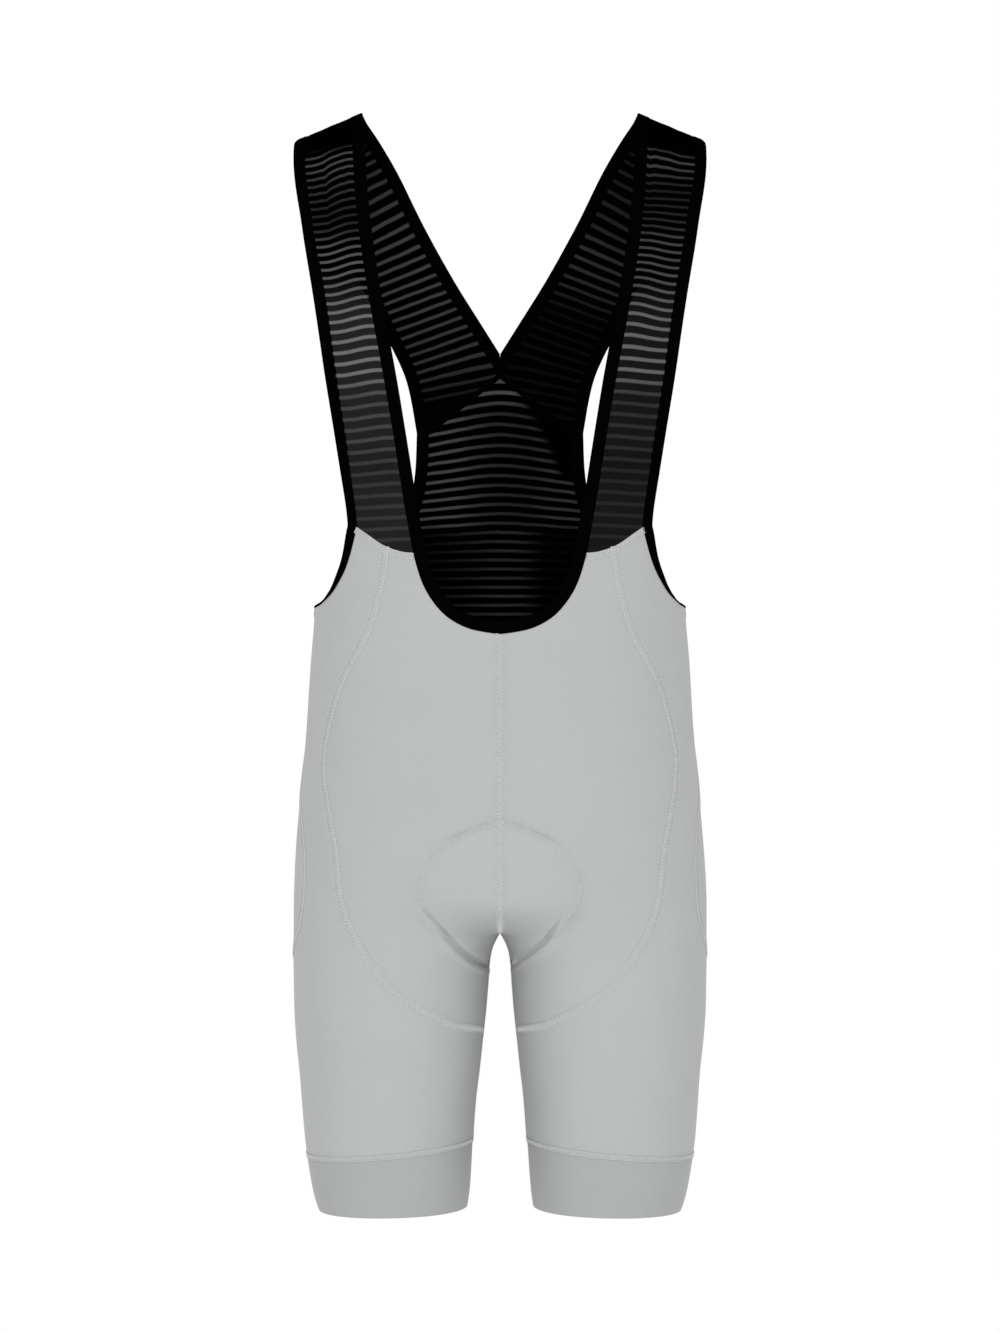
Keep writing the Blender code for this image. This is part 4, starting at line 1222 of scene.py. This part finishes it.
def strap_relief(points, shares, height, waves):
    """Soft folds along a strap, which start below the crest and fade out further down."""
    row = np.arange(len(points)) / (len(points) - 1)
    fade = soft(row / 0.10) * np.clip((0.45 - row) / 0.45, 0, 1) ** 1.5
    share = np.array(shares)[None, :]
    lift = np.sin(2 * math.pi * waves * share + 3.0 * row[:, None]) * np.sin(math.pi * share) ** 2
    return height * lift * fade[:, None]


# Pieces

PANEL_WALL, MESH_WALL, CUFF_WALL = 0.0010, 0.0007, 0.0013
GROOVE_DEPTH, GROOVE_AT, GROOVE_WIDTH = 0.0006, 0.0011, 0.0007  # under the cuff's seam
UP = np.array((0.0, 0.0, 1.0))
FOLDS = 0.0008  # height of the straps' soft folds
FRONT_FOLDS, BACK_FOLDS = 2.2, 1.7  # how many there are across a strap


def stand_for(piece, node_name):
    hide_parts(node_name)


for right in (False, True):
    hand = "right" if right else "left"
    panels = (("front", front, front_places), ("side", side, side_places), ("seat", seat, seat_places))
    for name, rows, places in panels:
        points, normals = arrays(rows, right)
        spots = cloth_map(places)
        if name == "front":
            points, normals, spots = finer(points), unit(finer(normals)), finer(spots)
        grid = (raised(points, normals), normals, spots)
        piece = shell(f"{name}_panel_{hand}", [grid], PANEL_WALL, GREY, f"{name}_knit")
        stand_for(piece, f"{name}_{hand}")

    # The cuff is a thick band with a rounded hem
    points, normals = arrays(cuff_rows, right)
    down = np.array(cuff_stations) - cuff_stations[0]
    groove = GROOVE_DEPTH * np.exp(-(((down + GROOVE_AT) / GROOVE_WIDTH) ** 2))
    outer = raised(points, normals, -groove[:, None])
    rows, radius = list(outer), CUFF_WALL / 2
    for turn in (math.pi / 4, math.pi / 2, math.pi * 3 / 4):
        rows.append(outer[-1] - normals[-1] * radius * (1 - math.cos(turn)) - UP * radius * math.sin(turn))
    rows += list((outer - normals * CUFF_WALL)[::-1])
    sections = np.array(rows).transpose(1, 0, 2)
    piece = put(f"cuff_band_{hand}", *loft(sections if right else sections[::-1], True), CUFF, "cuff")
    stand_for(piece, f"cuff_{hand}")

    for name, rows, shares, finish in (
        ("front_strap", front_strap, strap_shares, FRONT_MESH[right]),
        ("back_strap", back_strap, even_shares, STRAP_MESH),
    ):
        points, normals = arrays(rows)
        if name == "front_strap":
            spots, strengths = front_stripes(points, shares, right), None
            lift = strap_relief(points, shares, FOLDS, FRONT_FOLDS)
        else:
            reach = np.array([[reach_of(p.x, p.z, 1) for p, _ in row] for row in rows])
            spots, strengths = back_stripes(points, reach, right)
            lift = strap_relief(points, shares, FOLDS, BACK_FOLDS)
        points = points + normals * lift[..., None]
        points, normals = flipped(points, right), flipped(normals, right)
        grid = (raised(points, normals), normals, spots)
        piece = shell(f"{name}_mesh_{hand}", [grid], MESH_WALL, finish, "strap_mesh", strengths=strengths)
        stand_for(piece, f"{name}_{hand}")

whole_back = [row + mirrored(row[-2::-1]) for row in back]
points, normals = arrays(whole_back)
spots = mesh_stripes(points)
strengths = np.full(points.shape[:2], MESH_OUTER_TONE)
grid = (raised(points, normals), normals, spots)
back_piece = shell("back_panel", [grid], MESH_WALL, BACK_MESH, "back_mesh", strengths=strengths)
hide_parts("back_mesh")

# Bindings

BINDING = (  # the folded tape's section, as (mm past the cloth's edge, mm out from it)
    (-0.80, 0.20), (-0.60, 0.42), (1.0, 0.55), (2.4, 0.42), (5.0, 0.55), (8.6, 0.50), (9.6, 0.30),
    (10.0, -0.30), (10.0, -0.90), (9.6, -1.40), (8.6, -1.60), (5.0, -1.65), (1.0, -1.65), (-0.60, -1.60),
    (-0.80, -1.40),
)
BINDING_GAP = 0.00005
BINDING_STEP = 0.0030
ARM_LEAN = ((0.122, 0.0), (0.128, 0.22), (0.140, 0.40), (0.150, 0.65), (0.156, 1.0))  # radians by x
LEAN_LEVEL, LEAN_SOFT = -0.340, 0.014  # below which the armhole's binding leans in
SHOULDER_ROUND, BINDING_EDGE = 0.0075, 0.0105  # the corner's radius at the crest, and the binding's far edge
SHARPEST = 0.98  # share of that radius by which the corner cuts in at most
STRAPS_MEET = -0.35  # above which the neck's two sides may meet


def held_at_centre(line, place):
    """Where the neck binding would cross the centre, it stops there with its neighbours, in a corner."""
    held = (line[:, 0] * place[:, 0] < 0) & (line[:, 2] > STRAPS_MEET)
    share = line[:, 0] / np.where(held, line[:, 0] - place[:, 0], 1)
    for sign in (1, -1):
        own = np.where(held & (line[:, 0] * sign > 0))[0]
        if len(own):
            best = own[np.argmax(share[own])]
            corner = line[best] + (place[best] - line[best]) * share[best]
            place[own] = corner * (0, 1, 1)
    return place


def bound(name, samples, right, meets_centre):
    """A folded binding on the open side of a loop of samples."""
    line, _, across, out = respaced(*line_of(samples), BINDING_STEP, True)
    across = unit(smoothed(across, True, 6))
    if not meets_centre:
        lean = table_at(line[:, 0], ARM_LEAN) * soft((LEAN_LEVEL - line[:, 2]) / LEAN_SOFT)
        lean = smoothed(lean, True, 4)[:, None]
        cos, sin = np.cos(lean), np.sin(lean)
        across, out = across * cos - out * sin, out * cos + across * sin
        drop = crest_height(line[:, 0]) - line[:, 2]
        bite = SHOULDER_ROUND * (1 - np.sqrt(1 - np.clip(1 - drop / SHOULDER_ROUND, 0, SHARPEST) ** 2))
        across = across * (1 - bite / BINDING_EDGE)[:, None]
    sections = []
    for offset, height in BINDING:
        place = line + across * (BINDING_GAP + offset * 1e-3)
        if meets_centre:
            place = held_at_centre(line, place)
        sections.append(raised(place, out, height * 1e-3))
    sections = flipped(np.stack(sections, 1), right)
    return put(name, *loft(sections[:, ::-1] if right else sections, True), BLACK, "binding")


arm = [row[0] for row in front_strap]
arm += side[0][COLUMNS_STRAP_SIDE + 1 : COLUMNS_STRAP_SIDE + COLUMNS_ARMHOLE + 1]
arm += [row[0] for row in back[1:]]
arm += [row[0] for row in back_strap[-2:0:-1]]
half = front[0][: COLUMNS_NECK + 1]
half += [row[-1] for row in front_strap[-2::-1]]
half += [row[-1] for row in back_strap[1:]]
neck = half + mirrored(half[-2:0:-1])
for name, loop, right in (("arm_{}_left", arm, False), ("arm_{}_right", arm, True), ("neck_{}", neck, False)):
    stand_for(bound(name.format("edge"), loop, right, loop is neck), name.format("binding"))

# Seams on both sides

HALF_WIDTHS = {
    "centre": 0.0041, "waist": 0.0030, "yoke": 0.0046, "yoke_inner": 0.0024, "hip": 0.0037, "bib": 0.0027,
    "inner_leg": 0.0028, "cuff": 0.0021,
}
TO_WAIST, TO_BIB = -0.0032, 0.0029  # how far these two seams lie off the line, on the cloth below it
YOKE_INSIDE = 0.0009  # the mesh's inner face behind the yoke

centre = [row[0] for row in front[: ROWS_CHEST + ROWS_CROTCH + 1]]
centre += [row[-1] for row in seat[ROWS_CHEST + ROWS_CROTCH - 1 :: -1]]
points, normals = line_of(centre)
line = (points, unit(normals * (0, 1, 1)))
trim = seam("centre", line, HALF_WIDTHS["centre"], GREY, "front_knit", PALE_THREAD)

waist = side[0][-1 - COLUMNS_WAIST_SIDE : -1] + seat[0]
waist += mirrored(waist[-2::-1])
trim += seam("waist", line_of(waist), HALF_WIDTHS["waist"], GREY, "seat_knit", PALE_THREAD, shift=TO_WAIST)
points, normals = line_of(back[-1] + mirrored(back[-1][-2::-1]))
inside = (points - normals * YOKE_INSIDE, -normals)
trim += seam("yoke", (points, normals), HALF_WIDTHS["yoke"], BLACK, "back_mesh", DARK_THREAD)
trim += seam("yoke_inner", inside, HALF_WIDTHS["yoke_inner"], BLACK, "back_mesh", DARK_THREAD, rise=1.6)

pale_seams = (  # (name, samples, width, slot, settings)
    ("hip_front", [row[-1] for row in front] + front[-1][-2::-1], "hip", "front_knit", {}),
    ("hip_back", [row[0] for row in seat] + seat[-1][1:], "hip", "seat_knit", {}),
    ("bib", side[0][COLUMNS_STRAP_SIDE::-1] + front[0][-2 : COLUMNS_NECK - 1 : -1], "bib", "front_knit",
     {"shift": TO_BIB}),
    ("inseam", [row[0] for row in front[ROWS_CHEST + ROWS_CROTCH :]], "inner_leg", "front_knit", {}),
    ("inner_leg", [row[0] for row in side[len(front) + COLUMNS_PANEL - 1 :]], "inner_leg", "side_knit", {}),
    ("cuff", side[-1][:-1], "cuff", "side_knit", {"closed": True, "rise": 1.3}),
)
for hand, turn in (("left", 1), ("right", -1)):
    for name, samples, width, slot, settings in pale_seams:
        own = {key: value * turn if key == "shift" else value for key, value in settings.items()}
        line = line_of(samples, hand == "right")
        trim += seam(f"{name}_{hand}", line, HALF_WIDTHS[width], GREY, slot, PALE_THREAD, **own)

# The stitched outline of the pad

PAD_LINE_FRONT = (  # as (x, height)
    (0.0, -0.5915), (0.0163, -0.5940), (0.0300, -0.6000), (0.0420, -0.6065), (0.0520, -0.6160),
    (0.0600, -0.6259), (0.0655, -0.6400), (0.0665, -0.6508), (0.0625, -0.6633), (0.0537, -0.6737),
    (0.0440, -0.6840), (0.0315, -0.6955), (0.0213, -0.7042), (0.0115, -0.7125),
)
PAD_LINE_BACK = (
    (0.0, -0.572), (0.035, -0.577), (0.068, -0.598), (0.080, -0.628), (0.078, -0.660), (0.060, -0.685),
    (0.036, -0.702), (0.0115, -0.7165),
)
PAD_STATION = -0.0275  # on the inseam, where the outline crosses it
PAD_STITCHES, PAD_THREAD_UP, PAD_THREAD_RADIUS = 0.0034, 0.00006, 0.00012
outline = [place_of(x, z) for x, z in curve_through(PAD_LINE_FRONT)] + [(0.0, PAD_STATION)]
back_outline = [place_of(x, z, True) for x, z in curve_through(PAD_LINE_BACK)]
outline_samples = [sample(*place) for place in outline + back_outline[::-1]]
line = line_of(outline_samples[:-1] + mirrored(outline_samples[:0:-1]))
stitches = zigzag(line, 0.0, PAD_STITCHES, PAD_THREAD_UP, True, PAD_THREAD_RADIUS)
pad_threads = put("pad_threads", *stitches, PAD_THREAD, "front_knit")

# The seat pad, behind the cloth, thin at its rim and with two channels sewn along it

PAD_GAP, PAD_RIM, PAD_DEPTH = 0.0005, 0.0012, 0.0058
CHANNEL_AT, CHANNEL_WIDTH, CHANNEL_SHARE = 0.42, 0.07, 0.45  # shares of the half width, and of the depth
RIM_SIDE, RIM_TOP = 0.35, 0.25  # over which the rim thickens into the pad
pad_rows, pad_columns = slice(ROWS_CHEST, ROWS_CHEST + ROWS_CROTCH + FINE + 1), 3 * FINE
pad_grids, pad_walls = [], []
for right in (False, True):
    pad_front = [row[: pad_columns + 1] for row in front[pad_rows]]
    pad_back = [row[: -pad_columns - 2 : -1] for row in seat[pad_rows]]
    for rows in (pad_front, pad_back):
        points, normals = arrays(rows, right)
        out = np.arange(pad_columns + 1) / pad_columns
        down = np.arange(len(rows))[:, None] / (len(rows) - 1 - FINE)
        full = soft(np.clip((1 - out) / RIM_SIDE, 0, 1) * np.clip(down / RIM_TOP, 0, 1))
        channel = np.exp(-(((out - CHANNEL_AT) / CHANNEL_WIDTH) ** 2))
        pad_walls.append((PAD_RIM + PAD_DEPTH * full * (1 - CHANNEL_SHARE * channel)).ravel())
        pad_grids.append((raised(points, normals), normals, points[..., [0, 2]]))
pad = shell("pad_foam", pad_grids, np.concatenate(pad_walls), FOAM, "pad", -(PANEL_WALL + PAD_GAP))
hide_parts("seat_pad")

# Studio


LIGHTS = (  # (name, place, aim, diameter, watts)
    ("key", (-0.5, -3.4, 1.0), (0, 0, -0.5), 1.8, 14),
    ("fill", (0.0, -3.0, -0.72), (0, 0, -0.72), 1.2, 28),
)


def area_light(name, place, aim, size, watts):
    light = bpy.data.lights.new(name, "AREA")
    light.shape, light.size, light.energy = "DISK", size, watts
    thing = bpy.data.objects.new(name, light)
    thing.location = place
    thing.rotation_euler = (Vector(aim) - Vector(place)).to_track_quat("-Z", "Y").to_euler()
    bpy.context.scene.collection.objects.link(thing)


FLOOR, FLOOR_RADIUS, FLOOR_CORNERS = -1.45, 2.2, 96
turns = [2 * math.pi * k / FLOOR_CORNERS for k in range(FLOOR_CORNERS)]
disc = [(FLOOR_RADIUS * math.cos(turn), FLOOR_RADIUS * math.sin(turn), FLOOR) for turn in turns]
floor_mesh = bpy.data.meshes.new("floor")
floor_mesh.from_pydata(disc, [], [list(range(FLOOR_CORNERS))])
floor_mesh.materials.append(plain("floor_white", (0.9, 0.9, 0.9), 0.9, 0.0))
floor = bpy.data.objects.new("floor", floor_mesh)
bpy.context.scene.collection.objects.link(floor)

world = bpy.data.worlds.new("studio")
world.use_nodes = True
background = world.node_tree.nodes["Background"]
background.inputs["Color"].default_value = (1, 1, 1, 1)
background.inputs["Strength"].default_value = 1.0
bpy.context.scene.world = world
bpy.context.scene.view_settings.view_transform = "Standard"
for light in LIGHTS:
    area_light(*light)

# The photo's camera, level with the middle of the garment
LENS, SENSOR = 100.49, 36.0
CAMERA_PLACE = (0, -3.2, -0.4605)
camera = bpy.data.cameras.new("camera")
camera.lens, camera.sensor_width, camera.sensor_fit = LENS, SENSOR, "AUTO"
camera_object = bpy.data.objects.new("camera", camera)
camera_object.location = CAMERA_PLACE
camera_object.rotation_euler = (math.pi / 2, 0, 0)
bpy.context.scene.collection.objects.link(camera_object)
bpy.context.scene.camera = camera_object

# Each cloth piece's cut: flat width and length, flat area, and the seams that are part of it

CUTS = {
    "front": ((0.155, 0.425), 0.044, ("hip_front", "bib", "inseam")),
    "side": ((0.460, 0.500), 0.078, ("inner_leg",)),
    "seat": ((0.250, 0.350), 0.0615, ("hip_back",)),
    "cuff": ((0.410, 0.051), 0.0209, ("cuff",)),
    "front_strap": ((0.048, 0.370), 0.0155, ()),
    "back_strap": ((0.060, 0.290), 0.0148, ()),
}


def trim_of(*starts):
    """The seams' pieces whose names start so."""
    return [piece for piece in trim if piece.name.startswith(starts)]


for name, (flat, area, own_seams) in CUTS.items():
    for hand in ("left", "right"):
        own = trim_of(*(f"{start}_{hand}" for start in own_seams))
        if (name, hand) == ("front", "left"):
            own += trim_of("centre") + [pad_threads]
own = trim_of("waist", "yoke")
